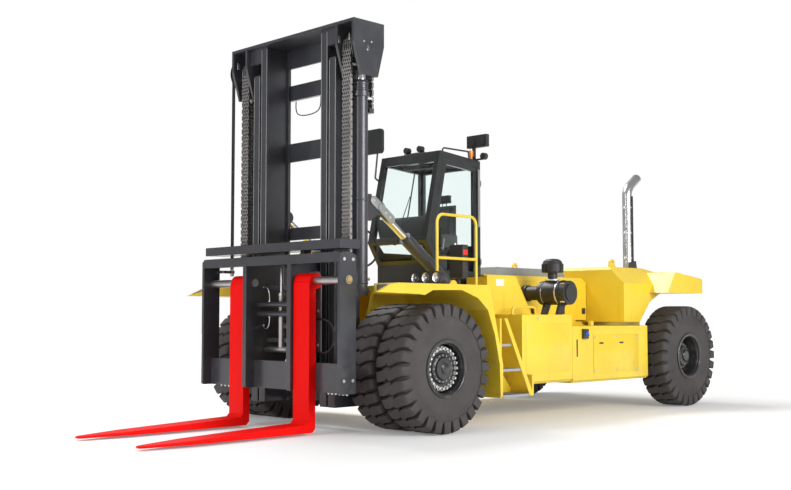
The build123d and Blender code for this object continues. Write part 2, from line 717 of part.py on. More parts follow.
def tilt_feet():
    """Clevis on the chassis for each tilt cylinder's foot."""
    x, z = TILT_FOOT
    half_eye = TILT_EYE_WIDTH / 2 + 4
    solids = None
    for y in ((TILT_Y - half_eye - PLATE, TILT_Y - half_eye), (TILT_Y + half_eye, TILT_Y + half_eye + PLATE)):
        plate = side_slab([(x - 160, 1650), (x + 220, 1650), (x + 70, z), (x - 70, z)], y)
        plate += cross_bar(x, z, y, TILT_EYE_R - 4)
        solids = plate if solids is None else solids + plate
    base_y = (FRAME_Y[1], TILT_Y + half_eye + PLATE)
    solids += block((x - 160, x + 220), base_y, (1560, 1650))
    solids += cross_bar(x, z, (TILT_Y - half_eye - PLATE, TILT_Y + half_eye + PLATE), TILT_EYE_R - 40)
    return both(solids)


def side_boxes():
    """Left tank and the longer box behind it."""
    y = BOX_Y
    beside_hood = HOOD_HALF_Y + MOVING_GAP
    tank = [(y[0], 540), (y[1] - 40, 540), (y[1], 580), (y[1], 1550), (beside_hood, 1550)]
    tank += [(beside_hood, 1440), (y[0], 1440)]
    rear = [(y[0], 510), (y[1] - 40, 510), (y[1], 550), (y[1], BOX_TOP_Z), (y[0], BOX_TOP_Z)]
    rear_solid = front_slab(rear, (BOX_REAR_X, BOX_SPLIT_X - BOX_SEAM))
    return Compound(children=[front_slab(tank, (BOX_SPLIT_X, TANK_FRONT_X)), rear_solid])


SIDE_COVER_Y = (900 + SEAT_GAP, 1300)


def side_cover():
    """Sloped cover between the left fender and the hood, on top of the tank."""
    outline = [(-1700, 1552), (-1700, 2105), (-2350, 2100), (-2720, 1552)]
    inner = [(-1720, 1551), (-1720, 2083), (-2338, 2080), (-2695, 1551)]
    solid = side_slab(outline, SIDE_COVER_Y) - side_slab(inner, (SIDE_COVER_Y[0] - 1, SIDE_COVER_Y[1] - 20))
    return solid + block((-1760, -1700), (SIDE_COVER_Y[0], SIDE_COVER_Y[1]), (1551, 1591))


# Steps behind the left fender: front x, rear x and top z of each tread
STEPS = ((-1200, -1440, 1150), (-1210, -1650, 800), (-1230, -1900, 440))


def entry_steps():
    """Left entry steps between two stringers."""
    solid = block((-1235, -1195), (1560, 1960), (400, 1500))
    solid += block((TANK_FRONT_X, TANK_FRONT_X + 40), (1500, 1960), (400, 700))
    for front, rear, z in STEPS:
        solid += block((rear, front), (1560, 1960), (z - 40, z))
    return solid + block((TANK_FRONT_X, -1195), (1500, 1560), (400, 1500))


def hood_section(inset):
    """Cross-section of the hood, moved inwards by the inset."""
    half = HOOD_HALF_Y - inset
    top = HOOD_TOP_Z - inset
    right = [(-half, HOOD_Z), (-half, top - 80), (-half + 80, top)]
    return right + [(-y, z) for y, z in reversed(right)]


def hood():
    """Hood over the engine, hinged along its right side."""
    inside_x = (HOOD_X[0] + HOOD_SHEET, HOOD_X[1] - HOOD_SHEET)
    solid = front_slab(hood_section(0), HOOD_X)
    solid -= front_slab(hood_section(HOOD_SHEET), inside_x)
    y, z = HOOD_HINGE
    for x in HOOD_HINGE_X:
        start, end = x + 32, x + 92
        solid += rod((start, y, z), (end, y, z), HINGE_PIN_R + 8)
        solid += block((start, end), (y + 8, -HOOD_HALF_Y), (z - 8, z + 40))
        solid -= rod((start - 1, y, z), (end + 1, y, z), HINGE_PIN_R + RUNNING)
    return solid


def hood_hinges():
    """Hinge pins of the hood on brackets from the right-hand box."""
    y, z = HOOD_HINGE
    solids = []
    for x in HOOD_HINGE_X:
        bracket = block((x - 30, x + 30), (y - 20, y + 5), (BOX_TOP_Z, z))
        bracket += rod((x - 30, y, z), (x + 100, y, z), HINGE_PIN_R)
        solids += bracket.solids()
    return Compound(children=solids)


def hood_cover():
    """Raised cover on the hood, hollow like the hood."""
    top = HOOD_TOP_Z + 130
    rear = HOOD_X[0] + 340
    outline = [(-2650, HOOD_TOP_Z), (-2720, top), (rear + 70, top), (rear, HOOD_TOP_Z)]
    inner_top = top - HOOD_SHEET
    inner = [(-2672, HOOD_TOP_Z), (-2735, inner_top), (rear + 85, inner_top), (rear + 22, HOOD_TOP_Z)]
    half = 620
    return side_slab(outline, (-half, half)) - side_slab(inner, (HOOD_SHEET - half, half - HOOD_SHEET))


def engine():
    """Engine and gearbox as one block between the side plates."""
    solid = block((-4500, -2600), (-430, 430), (700, 1950))
    for x in (-4200, -2900):
        solid += block((x - 60, x + 60), (-FRAME_Y[0], FRAME_Y[0]), (980, 1040))
    return solid


def counterweight():
    """Counterweight: shoulders over the hood's end, tail over the steered wheels."""
    front = WEIGHT_FRONT_X
    bottom = 1430
    crown = 2350
    tail_z = (1920, 2170)
    side = [(front, bottom), (front, crown - 50), (front - 60, crown), (front - 1030, crown)]
    side += [(TAIL_X, tail_z[1]), (TAIL_X, tail_z[0]), (front - 1110, tail_z[0])]
    side += [(front - 770, 1760), (front - 470, bottom)]
    solid = side_slab(side, (-COUNTER_HALF_Y, COUNTER_HALF_Y))
    for sign in (1, -1):
        edge = sign * (COUNTER_HALF_Y + 1)
        cut = [(sign * 1250, crown + 1), (edge, 2070), (edge, crown + 1)]
        solid -= front_slab(cut, (front - 1330, front + 70))
    tail = [(front - 780, tail_z[0]), (front - 1030, 2270), (TAIL_X, tail_z[1]), (TAIL_X, tail_z[0])]
    solid += side_slab(tail, (-TAIL_HALF_Y, TAIL_HALF_Y))
    low = [(TAIL_X + 220, 1435), (TAIL_X + 220, 1930), (TAIL_X, 1930), (TAIL_X, 620), (TAIL_X + 200, 620)]
    solid += side_slab(low, (-620, 620))
    slot = (-FRAME_Y[1] - 5, FRAME_Y[1] + 5)
    return solid - block((TAIL_X + 300, front + 70), slot, (bottom - 30, FRAME_Z[1]))


def tow_hitch():
    """Two ears with an upright pin hole at the back of the counterweight."""
    solid = None
    for z in ((700, 740), (800, 840)):
        ear = block((TOW_PIN_X, TAIL_X), (-90, 90), z) + rod((TOW_PIN_X, 0, z[0]), (TOW_PIN_X, 0, z[1]), 90)
        solid = ear if solid is None else solid + ear
    solid += block((TAIL_X - 25, TAIL_X), (-130, 130), (660, 880))
    return solid - rod((TOW_PIN_X, 0, 600), (TOW_PIN_X, 0, 900), TOW_PIN_R)


def lifting_eyes():
    """Lifting eyes on the shoulders of the counterweight."""
    x, y, top = LIFTING_EYE
    plate = side_slab([(x - 90, 2350), (x + 90, 2350), (x + 60, top), (x - 60, top)], (y - 20, y + 20))
    plate += cross_bar(x, top, (y - 20, y + 20), 60)
    return both(plate - cross_bar(x, top, (y - 30, y + 30), EYE_R))


AIR_DRUM_X = -3180
AIR_DRUM_Y = (1180, 1700)
AIR_DRUM_Z = 1885
AIR_DRUM_R = 185
AIR_NECK_Y = 1370
AIR_NECK_TOP_Z = 2110


def air_cleaner():
    """Air cleaner: drum across the truck with its bands, service cap, outlet and saddles."""
    low, high = AIR_DRUM_Y
    rings = [
        (0, AIR_DRUM_R, low, high),
        (0, AIR_DRUM_R + 10, high - 130, high - 105),
        (0, AIR_DRUM_R + 10, low + 60, low + 85),
        (0, AIR_DRUM_R - 55, high, high + 20),
        (0, 110, HOOD_HALF_Y + 2 * MOVING_GAP, low),
        (0, 130, HOOD_HALF_Y + 2 * MOVING_GAP, HOOD_HALF_Y + 2 * MOVING_GAP + 70),
    ]
    solid = turned(rings, AIR_DRUM_X, AIR_DRUM_Z)
    neck = (AIR_DRUM_X, AIR_NECK_Y, AIR_DRUM_Z)
    solid += rod(neck, (AIR_DRUM_X, AIR_NECK_Y, AIR_NECK_TOP_Z - 20), 82)
    foot_z = BOX_TOP_Z + 180
    front = BOX_SPLIT_X + 130
    saddle = [(front, foot_z), (BOX_SPLIT_X + 5, foot_z), (AIR_DRUM_X - 70, 1740), (AIR_DRUM_X + 80, 1740)]
    for y in (low + 70, high - 170):
        solid += side_slab(saddle, (y, y + 50))
    return solid


def precleaner():
    """Neck and ribbed mushroom cap on the air cleaner."""
    x, y, z = AIR_DRUM_X, AIR_NECK_Y, AIR_NECK_TOP_Z
    profile = [(0, z - 20), (74, z - 20), (74, z + 88), (150, z + 88), (160, z + 110)]
    profile += [(160, z + 220), (140, z + 270), (95, z + 300), (0, z + 310)]
    half = Polyline(*[(r, 0, height) for r, height in profile], close=True)
    solid = Pos(x, y, 0) * revolve(make_face(half), axis=Axis.Z)
    for i in range(12):
        rib = block((x + 150, x + 170), (y - 8, y + 8), (z + 95, z + 225))
        solid += rib.rotate(Axis((x, y, 0), (0, 0, 1)), 30 * i)
    return solid


EXHAUST = (-WHEELBASE - 230, 600)


def exhaust():
    """Exhaust stack with its bent tip."""
    x, y = EXHAUST
    return pipe([(x, y, 2310), (x, y, 3820), (x - 330, y, 4060)], 85, 220)


def exhaust_shield():
    """Dark shield round the rear of the stack, on its foot."""
    x, y = EXHAUST
    ring = rod((x, y, 2500), (x, y, 3700), 108) - rod((x, y, 2490), (x, y, 3710), 88)
    shield = ring & block((x - 250, x - 20), (y - 200, y + 200), (2400, 3800))
    outline = [(x + 120, 2263), (x + 80, 2500), (x - 110, 2500), (x - 190, 2201)]
    foot = side_slab(outline, (y + 90, y + 105))
    return shield + foot + block((x - 110, x - 30), (y + 80, y + 105), (2480, 2520))


# Cab

CAB_SIDE = [(-1180, DECK_Z), (-1180, 2300), (-970, 2640), (-1270, 3980), (-2170, 3900), (-2170, DECK_Z)]


DOOR_OUTLINE = [(-1250, 2120), (-1250, 2330), (-1075, 2650), (-1345, 3860), (-2090, 3800), (-2090, 2120)]
CAB_PILLAR = 90
HINGE = (-2130, CAB_Y[1] + 25)
HINGE_Z = (2350, 3550)

# Windows cut straight through the front and the rear wall: x range and z range
CAB_OPENINGS = (
    ((-1300, -900), (2700, 3830)),
    ((-1240, -900), (2360, 2600)),
    ((-2300, -2000), (2600, 3780)),
)
RIGHT_WINDOW = [(-1260, 2500), (-1100, 2680), (-1350, 3840), (-2080, 3790), (-2080, 2500)]


def cab_shell():
    """Hollow cab: floor, roof, walls and pillars, with the windows and the doorway cut."""
    low, high = CAB_Y
    wall = CAB_WALL
    solid = side_slab(CAB_SIDE, CAB_Y)
    inner = [
        (-1250, 2040),
        (-1250, 2300),
        (-1045, 2640),
        (-1318, 3910),
        (-2110, 3840),
        (-2110, 2040),
    ]
    solid -= side_slab(inner, (low + wall, high - wall))
    solid -= side_slab(DOOR_OUTLINE, (high - wall - 1, high + 1))
    solid -= side_slab(RIGHT_WINDOW, (low - 1, low + wall + 1))
    for x, z in CAB_OPENINGS:
        solid -= block(x, (low + CAB_PILLAR, high - CAB_PILLAR), z)
    for z in HINGE_Z:
        pin = rod((*HINGE, z - 60), (*HINGE, z + 60), HINGE_PIN_R)
        for end in (z - 60, z + 40):
            pin += block((HINGE[0] - 14, HINGE[0] + 14), (high, HINGE[1]), (end, end + 20))
        solid += pin
    return solid


def cab_glass():
    """Fixed panes: windscreen, lower front, rear and right side."""
    low, high = CAB_Y
    y = (low + CAB_PILLAR + SEAT_GAP, high - CAB_PILLAR - SEAT_GAP)
    sheets = (
        [(-995, 2650), (-1007, 2650), (-1285, 3890), (-1273, 3890)],
        [(-1195, 2310), (-1207, 2310), (-1002, 2642), (-990, 2642)],
        [(-2150, 2500), (-2140, 2500), (-2140, 3880), (-2150, 3880)],
    )
    panes = []
    for sheet, (x, z) in zip(sheets, CAB_OPENINGS):
        pane = side_slab(sheet, y) & block(x, y, (z[0] + SEAT_GAP, z[1] - SEAT_GAP))
        panes += pane.solids()
    panes += side_slab(RIGHT_WINDOW, (low + 20, low + 30)).solids()
    return Compound(children=panes)


def door_frame():
    """Cab door: one frame round its pane."""
    high = CAB_Y[1]
    y = (high - CAB_WALL + 5, high)
    outline = [(-1256, 2128), (-1256, 2333), (-1083, 2652), (-1351, 3852), (-2082, 3792), (-2082, 2128)]
    inner = [(-1326, 2200), (-1326, 2345), (-1160, 2655), (-1402, 3785), (-2010, 3730), (-2010, 2200)]
    solid = side_slab(outline, y) - side_slab(inner, (y[0] - 1, y[1] + 1))
    for z in HINGE_Z:
        leaf = rod((*HINGE, z - 38), (*HINGE, z + 38), HINGE_PIN_R + 10)
        leaf += block((HINGE[0], -2030), (high + 2, high + 16), (z - 38, z + 38))
        leaf += block((-2078, -2030), (high - 2, high + 16), (z - 38, z + 38))
        solid += leaf - rod((*HINGE, z - 39), (*HINGE, z + 39), HINGE_PIN_R + RUNNING)
    return solid


def door_glass():
    """Pane in the door."""
    high = CAB_Y[1]
    inner = [(-1326, 2200), (-1326, 2345), (-1160, 2655), (-1402, 3785), (-2010, 3730), (-2010, 2200)]
    return side_slab(inner, (high - 38, high - 28))


def seat():
    """Driver's seat on its base."""
    y = (-100, 400)
    cushion = block((-1950, -1480), y, (2500, 2620))
    back = side_slab([(-1950, 2500), (-1830, 2640), (-1960, 3250), (-2070, 3250), (-2060, 2500)], y)
    head = block((-2080, -1985), (20, 280), (3270, 3420))
    post = block((-2045, -2015), (120, 180), (3240, 3280))
    return cushion + back + head + post


def seat_base():
    """Pedestal under the seat."""
    return block((-1900, -1500), (-20, 320), (2040, 2500 - SEAT_GAP))


def console():
    """Steering column and wheel in front of the seat, and the dash behind the windscreen."""
    solid = rod((-1335, 150, 2070), (-1430, 150, 2750), 45) + block((-1400, -1270), (90, 210), (2040, 2120))
    rim = Plane(origin=(-1435, 150, 2790), z_dir=(-0.35, 0, 1))
    return solid + rim * Torus(190, 17) + rim * Cylinder(60, 110) + rim * Box(30, 380, 14)


HANDRAIL_R = 20


HANDRAIL_Y = 1690
HANDRAIL_X = (-1010, -215)


def handrail():
    """Handrail loop on the left deck."""
    rear, front = HANDRAIL_X
    y = HANDRAIL_Y
    top = DECK_Z + 955
    loop = pipe([(front, y, DECK_Z), (front, y, top), (rear, y, top), (rear, y, DECK_Z)], HANDRAIL_R, 120)
    return loop + rod((front, y, DECK_Z + 365), (rear, y, DECK_Z + 365), HANDRAIL_R)


def switch_box():
    """Upright box on a post beside the handrail."""
    x, y = -860, 1500
    solid = block((x - 60, x + 60), (y - 120, y + 120), (DECK_Z + 110, DECK_Z + 570))
    return solid + rod((x, y, DECK_Z), (x, y, DECK_Z + 130), 22)


WORK_LAMPS = (100, (1600, 1790, 1980))


def work_lights():
    """Three round work lamps in one housing on the left deck."""
    x, rows = WORK_LAMPS
    z = DECK_Z + 85
    front = x + 20
    housing = block((x - 50, front), (rows[0], rows[-1]), (z - 84, z + 80))
    for y in (rows[0], rows[-1]):
        housing += rod((x - 50, y, z), (front, y, z), 82)
    for y in rows:
        housing -= rod((front - 25, y, z), (front + 1, y, z), 66)
        housing += rod((front - 26, y, z), (front - 12, y, z), 60)
    foot = block((x - 45, x + 5), (rows[0], rows[-1]), (DECK_Z, DECK_Z + 10))
    return housing + foot


def roof_z(x):
    """Height of the cab's roof at x."""
    front, rear = CAB_SIDE[3], CAB_SIDE[4]
    return front[1] + (rear[1] - front[1]) * (x - front[0]) / (rear[0] - front[0])


# Lamps on the roof that face forward: x, y, height over the roof and radius
ROOF_LAMPS = (
    (-1330, 40, 72, 48),
    (-1330, 320, 72, 48),
    (-2100, 690, 290, 72),
    (-2100, 890, 290, 72),
)


def roof_lights():
    """Front lamps on a low bar, and the pair with its bracket over the rear left corner."""
    solids = []
    foot = roof_z(-1320) + SEAT_GAP
    bar = block((-1360, -1320), (-30, 390), (foot, foot + 28))
    rear = roof_z(-2080) + SEAT_GAP
    post = block((-2120, -2080), (690, 730), (rear, rear + 200))
    post += block((-2135, -2060), (596, 984), (rear + 196, rear + 384))
    post += block((-2120, -2080), (720, 920), (rear, rear + 24))
    post += rod((-2130, 915, rear + 50), (-2060, 915, rear + 50), 52)
    for x, y, height, radius in ROOF_LAMPS:
        lamp = rod((x - 30, y, roof_z(x) + height), (x + 50, y, roof_z(x) + height), radius)
        if x > -2000:
            bar += lamp
        else:
            post += lamp
    solids += bar.solids() + post.solids()
    return solids


ROOF_RAIL = (-1960, -1370)


def roof_rail():
    """Low rail along the roof's left edge."""
    y = CAB_Y[1] - 45
    rear, front = ROOF_RAIL
    radius = 13
    top = roof_z(front) + 62
    feet = [roof_z(x + radius) + SEAT_GAP for x in (front, rear)]
    points = [(front, y, feet[0]), (front, y, top), (rear, y, top), (rear, y, feet[1])]
    return pipe(points, radius, 40)


MIRROR_Y = (-860, -370)


def cab_mirror():
    """Mirror on its arm at the cab's right front corner."""
    low, high = MIRROR_Y
    x = -1200
    panel = block((x - 22, x + 22), MIRROR_Y, (4050, 4440))
    panel = fillet(panel.edges().filter_by(Axis.X), 60)
    radius = 14
    y = CAB_Y[0] - radius - SEAT_GAP
    arm = pipe([(x - 60, y, 3600), (x + 60, y, 3660), (x + 10, y, 4060), (x, high - 60, 4120)], radius, 30)
    return panel + arm


def beacon():
    """Beacon on a post at the rear left of the roof."""
    foot = roof_z(-2010) + SEAT_GAP
    solid = rod((-2030, 700, foot), (-2030, 700, foot + 50), 20)
    return solid + rod((-2030, 700, foot + 50), (-2030, 700, foot + 140), 44)


def main():
    """Write every node."""
    os.makedirs("parts", exist_ok=True)
    save("frame", frame())
    save("drive_axle", drive_axle())
    save("steer_axle", steer_axle())
    save("tilt_feet", tilt_feet())
    save("counterweight", counterweight())
    save("engine", engine())
    save("hood", hood())
    save("hood_cover", hood_cover())
    save("side_tanks", Compound(children=[*both(side_boxes()).solids(), side_cover()]))
    save("hood_hinges", hood_hinges())
    save("tow_hitch", tow_hitch())
    save("lifting_eyes", lifting_eyes())
    save("air_cleaner", air_cleaner())
    save("precleaner", precleaner())
    save("exhaust_stack", exhaust())
    save("exhaust_shield", exhaust_shield())
    save("cab_shell", cab_shell())
    save("cab_glass", cab_glass())
    save("seat", seat())
    save("seat_base", seat_base())
    save("steering_column", console())
    save("door_frame", door_frame())
    save("door_glass", door_glass())
    save("handrail", handrail())
    save("entry_steps", entry_steps())
    save("lamps", Compound(children=[work_lights(), *roof_lights()]))
    save("cab_fittings", Compound(children=[roof_rail(), cab_mirror()]))
    save("switch_box", switch_box())
    save("beacon", beacon())
    save("outer_mast", outer_mast())
    save("inner_mast", inner_mast())
    save("crosshead", crosshead())
    save("sheaves", both(Compound(children=[sheave(), chain_wrap()])))
    save("chain_fronts", both(chain_run(True, (CHAIN_ANCHOR_Z, SHEAVE_Z))))
    save("chain_backs", both(chain_run(False, (CHAIN_BACK_ANCHOR_Z, SHEAVE_Z))))
    save("lift_barrels", both(lift_barrel()))
    save("lift_rods", both(lift_rod()))
    save("carriage_frame", carriage_frame())
    save("upper_beam", upper_beam())
    save("fork_shaft", both(cross_bar(*FORK_SHAFT, (MIDDLE_PLATE_Y[0] - 8, CARRIAGE_HALF_Y + 8), FORK_SHAFT_R)))
    save("positioner_barrels", positioner_barrels())
    save("fenders", both(fender()))
    save("deck", deck())
    for name, side in SIDES:
        save(f"fork_{name}", flip(fork() + positioner_rod(POSITIONER[name]), side))
        save(f"tilt_barrel_{name}", flip(tilt_barrel(), side))
        save(f"tilt_rod_{name}", flip(tilt_rod(), side))
        twins = [tyre(0, INNER_TWIN_Y), tyre(0, OUTER_TWIN_Y)]
        save(f"drive_tyres_{name}", flip(Compound(children=twins), side))
        save(f"drive_rims_{name}", flip(drive_wheel(), side))
        save(f"knuckle_{name}", flip(knuckle(), side))
        save(f"steer_tyre_{name}", flip(tyre(-WHEELBASE, STEER_HALF_TRACK), side))
        save(f"steer_rim_{name}", flip(steer_wheel(), side))


main()
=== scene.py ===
# %% [markdown]
# # A heavy forklift truck
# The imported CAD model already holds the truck's solids and says how they move.
# This lesson dresses it: paint, rubber, glass and the small pieces that make it look used and real.
# Every length is in metres, +X points to the fork tips, +Y to the truck's left and +Z up.
# %% Load the truck
import json
import math

import bmesh
import bpy
from mathutils import Matrix, Vector

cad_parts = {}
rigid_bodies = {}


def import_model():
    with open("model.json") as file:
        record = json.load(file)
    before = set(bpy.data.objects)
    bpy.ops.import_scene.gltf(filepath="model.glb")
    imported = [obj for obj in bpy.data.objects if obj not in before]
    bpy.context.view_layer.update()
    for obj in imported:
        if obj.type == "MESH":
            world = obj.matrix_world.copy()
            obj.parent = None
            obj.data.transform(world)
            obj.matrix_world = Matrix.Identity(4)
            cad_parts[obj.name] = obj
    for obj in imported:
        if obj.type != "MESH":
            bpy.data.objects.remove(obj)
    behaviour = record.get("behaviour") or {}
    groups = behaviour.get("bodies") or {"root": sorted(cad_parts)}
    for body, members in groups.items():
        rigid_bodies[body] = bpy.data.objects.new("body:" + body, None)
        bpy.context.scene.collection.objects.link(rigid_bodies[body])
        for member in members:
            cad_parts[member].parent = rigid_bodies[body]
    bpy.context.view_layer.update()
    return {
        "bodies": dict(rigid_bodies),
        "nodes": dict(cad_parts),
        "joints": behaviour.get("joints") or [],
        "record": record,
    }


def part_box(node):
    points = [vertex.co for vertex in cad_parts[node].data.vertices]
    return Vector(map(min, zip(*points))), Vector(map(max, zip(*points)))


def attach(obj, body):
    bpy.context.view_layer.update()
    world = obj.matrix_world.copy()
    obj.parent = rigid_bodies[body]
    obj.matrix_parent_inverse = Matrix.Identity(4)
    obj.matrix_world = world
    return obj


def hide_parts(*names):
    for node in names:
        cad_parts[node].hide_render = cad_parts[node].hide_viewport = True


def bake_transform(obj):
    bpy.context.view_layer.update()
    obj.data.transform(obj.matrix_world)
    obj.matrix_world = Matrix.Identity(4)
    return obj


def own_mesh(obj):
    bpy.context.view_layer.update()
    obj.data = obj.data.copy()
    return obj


scene_objects = bpy.context.scene.collection.objects


def placed(name, data):
    """A new object in the scene."""
    obj = bpy.data.objects.new(name, data)
    scene_objects.link(obj)
    return obj


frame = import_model()
nodes = frame["nodes"]

# %% [markdown]
# The drive axle is the truck's natural datum: makers dimension such a machine from it.
# Reading it from the frame keeps every added piece on the CAD, wherever the whole truck's centre lies.
# %% Datum
axle_low, axle_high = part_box("drive_rims_left")
AXLE_X = (axle_low.x + axle_high.x) / 2
AXLE_Z = (axle_low.z + axle_high.z) / 2
steer_low, steer_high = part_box("steer_rim_left")
STEER_X = (steer_low.x + steer_high.x) / 2 - AXLE_X
BOTH = (1, -1)
SIDES = (("left", 1), ("right", -1))
AHEAD, ACROSS, UP = (1, 0, 0), (0, 1, 0), (0, 0, 1)
print("drive axle at", round(AXLE_X, 3), round(AXLE_Z, 3), "steered axle at", round(STEER_X, 3))

# %% [markdown]
# The camera stands low and to the front left, so the forks reach towards the viewer.
# A camera looks along its own -Z, and to_track_quat turns a direction into that rotation.
# %% Camera
LOOK_TURN = 0.7904
LOOK_RISE = 0.0641
camera_data = bpy.data.cameras.new("camera")
camera_data.sensor_width = 36
camera_data.lens = 49.33
camera = placed("camera", camera_data)
camera.location = (AXLE_X + 10.394, 11.613, 1.551)
look = Vector(
    (
        -math.cos(LOOK_TURN) * math.cos(LOOK_RISE),
        -math.sin(LOOK_TURN) * math.cos(LOOK_RISE),
        math.sin(LOOK_RISE),
    )
)
camera.rotation_euler = look.to_track_quat("-Z", "Y").to_euler()
bpy.context.scene.camera = camera
print("camera at", tuple(round(v, 2) for v in camera.location))

# %% [markdown]
# ## Materials
# A small helper starts each material with a Principled shader and the object's own coordinates.
# Object coordinates stay put while a body moves, so the pattern never slides.
# %% Material helpers


def new_finish(name):
    """A material with its node tree, shader and object coordinates."""
    material = bpy.data.materials.new(name)
    material.use_nodes = True
    tree = material.node_tree
    shader = tree.nodes["Principled BSDF"]
    place = tree.nodes.new("ShaderNodeTexCoord").outputs["Object"]
    return material, tree, shader, place


def add_node(tree, kind, wires, **settings):
    """A new node whose named or numbered inputs get a value or a link. Returns its outputs."""
    node = tree.nodes.new(kind)
    for name, value in settings.items():
        setattr(node, name, value)
    for name, value in wires.items():
        if isinstance(value, bpy.types.NodeSocket):
            tree.links.new(value, node.inputs[name])
        else:
            node.inputs[name].default_value = value
    return node.outputs


def noise(tree, place, scale, detail=4.0, rough=0.55, stretch=None):
    """Noise on the object's coordinates, stretched where a vector is given."""
    if stretch:
        place = add_node(tree, "ShaderNodeMapping", {"Vector": place, "Scale": stretch})["Vector"]
    wires = {"Vector": place, "Scale": scale, "Detail": detail, "Roughness": rough}
    return add_node(tree, "ShaderNodeTexNoise", wires)["Fac"]


def ranged(tree, value, low, high, to_low=0.0, to_high=1.0):
    """Map a value from one range to another and clamp it."""
    wires = {"Value": value, "From Min": low, "From Max": high, "To Min": to_low, "To Max": to_high}
    return add_node(tree, "ShaderNodeMapRange", wires)["Result"]


def maths(tree, operation, first, second):
    """One math node on sockets or numbers."""
    return add_node(tree, "ShaderNodeMath", {0: first, 1: second}, operation=operation)[0]


def times(tree, first, second):
    """Product of two values."""
    return maths(tree, "MULTIPLY", first, second)


def mixed(tree, share, first, second):
    """Mix of two colours, each a colour or a socket."""
    first, second = ((*value, 1) if isinstance(value, tuple) else value for value in (first, second))
    return add_node(tree, "ShaderNodeMix", {"Factor": share, 6: first, 7: second}, data_type="RGBA")[2]


def rounded_edges(tree, width):
    """Shading normal that rounds hard edges, and a mask that is 1 on them."""
    soft = add_node(tree, "ShaderNodeBevel", {"Radius": width}, samples=4)["Normal"]
    flat = tree.nodes.new("ShaderNodeNewGeometry").outputs["True Normal"]
    dot = add_node(tree, "ShaderNodeVectorMath", {0: soft, 1: flat}, operation="DOT_PRODUCT")
    return soft, ranged(tree, dot["Value"], 0.985, 0.9, 0.0, 1.0)


def bumped(tree, shader, height, strength, distance, normal=None):
    """Bump the shader with a height, on top of a normal where one is given."""
    wires = {"Height": height, "Strength": strength, "Distance": distance}
    if normal:
        wires["Normal"] = normal
    tree.links.new(add_node(tree, "ShaderNodeBump", wires)["Normal"], shader.inputs["Normal"])


def height_of(tree, place):
    """The Z coordinate alone."""
    return add_node(tree, "ShaderNodeSeparateXYZ", {"Vector": place})["Z"]


# %% [markdown]
# Sprayed enamel is never one flat colour: it fades in broad clouds, carries dust low down,
# shows a fine orange peel in the light and wears thin on its edges.
# One function makes all the truck's paints, because they differ only in a few numbers.
# %% Paint


def enamel(name, colour, shade, rough, worn, dust=0.5, coat=0.25, edge=0.006):
    """Sprayed paint: two close tones, dust low down, worn edges and orange peel."""
    material, tree, shader, place = new_finish(name)
    normal, edges = rounded_edges(tree, edge)
    clouds = ranged(tree, noise(tree, place, 0.9, 5), 0.35, 0.68)
    base = mixed(tree, clouds, shade, colour)
    low = ranged(tree, height_of(tree, place), 0.1, 1.9, 1.0, 0.12)
    specks = ranged(tree, noise(tree, place, 5.5, 8, 0.7), 0.5, 0.78)
    base = mixed(tree, times(tree, times(tree, specks, low), dust), base, (0.33, 0.27, 0.19))
    streaks = ranged(tree, noise(tree, place, 3.0, 3, 0.5, (5, 5, 0.35)), 0.6, 0.8, 0.0, 0.22)
    base = mixed(tree, streaks, base, tuple(0.45 * v for v in shade))
    patches = ranged(tree, noise(tree, place, 14, 6, 0.7), 0.48, 0.62)
    base = mixed(tree, times(tree, times(tree, edges, patches), 0.6), base, worn)
    tree.links.new(base, shader.inputs["Base Color"])
    tree.links.new(ranged(tree, specks, 0.0, 1.0, rough, min(1.0, rough + 0.18)), shader.inputs["Roughness"])
    shader.inputs["Coat Weight"].default_value = coat
    shader.inputs["Coat Roughness"].default_value = 0.12
    bumped(tree, shader, noise(tree, place, 90, 3), 0.06, 0.002, normal)
    return material


YELLOW = enamel(
    "body_yellow_enamel", (0.90, 0.66, 0.045), (0.83, 0.57, 0.03), 0.36, (0.95, 0.80, 0.30), 0.35
)
BLACK = enamel(
    "mast_black_enamel", (0.052, 0.054, 0.064), (0.036, 0.037, 0.044), 0.32, (0.22, 0.22, 0.23), 0.22
)
CHASSIS = enamel(
    "chassis_black_enamel", (0.035, 0.035, 0.037), (0.022, 0.022, 0.023), 0.5, (0.15, 0.14, 0.13), 0.6
)
CAB_PAINT = enamel(
    "cab_black_enamel", (0.030, 0.033, 0.034), (0.02, 0.022, 0.023), 0.3, (0.16, 0.17, 0.17), 0.15
)
RIM_PAINT = enamel(
    "rim_black_enamel", (0.028, 0.028, 0.031), (0.018, 0.018, 0.02), 0.28, (0.14, 0.14, 0.15), 0.5
)
RED = enamel(
    "fork_red_enamel", (0.97, 0.003, 0.001), (0.90, 0.002, 0.001), 0.40, (0.90, 0.10, 0.06), 0.0, 0.0
)
RED.node_tree.nodes["Principled BSDF"].inputs["Specular IOR Level"].default_value = 0.12
STEP_GREY = enamel(
    "step_grey_enamel", (0.40, 0.41, 0.42), (0.30, 0.31, 0.32), 0.45, (0.62, 0.62, 0.62), 0.5
)
COVER_GREY = enamel(
    "cover_grey_enamel", (0.30, 0.31, 0.31), (0.24, 0.25, 0.25), 0.4, (0.55, 0.55, 0.55), 0.3
)
PANEL_GREY = enamel(
    "panel_grey_enamel", (0.17, 0.17, 0.18), (0.14, 0.14, 0.15), 0.42, (0.3, 0.3, 0.3), 0.3
)
print("paints", sum(m.name.endswith("enamel") for m in bpy.data.materials))

# %% [markdown]
# Rubber is rough and nearly black. What makes it read as a tyre is the brown-grey bloom
# on its walls and the dust in its pores, so its colour is mixed from three noises.
# %% Rubber and plastics


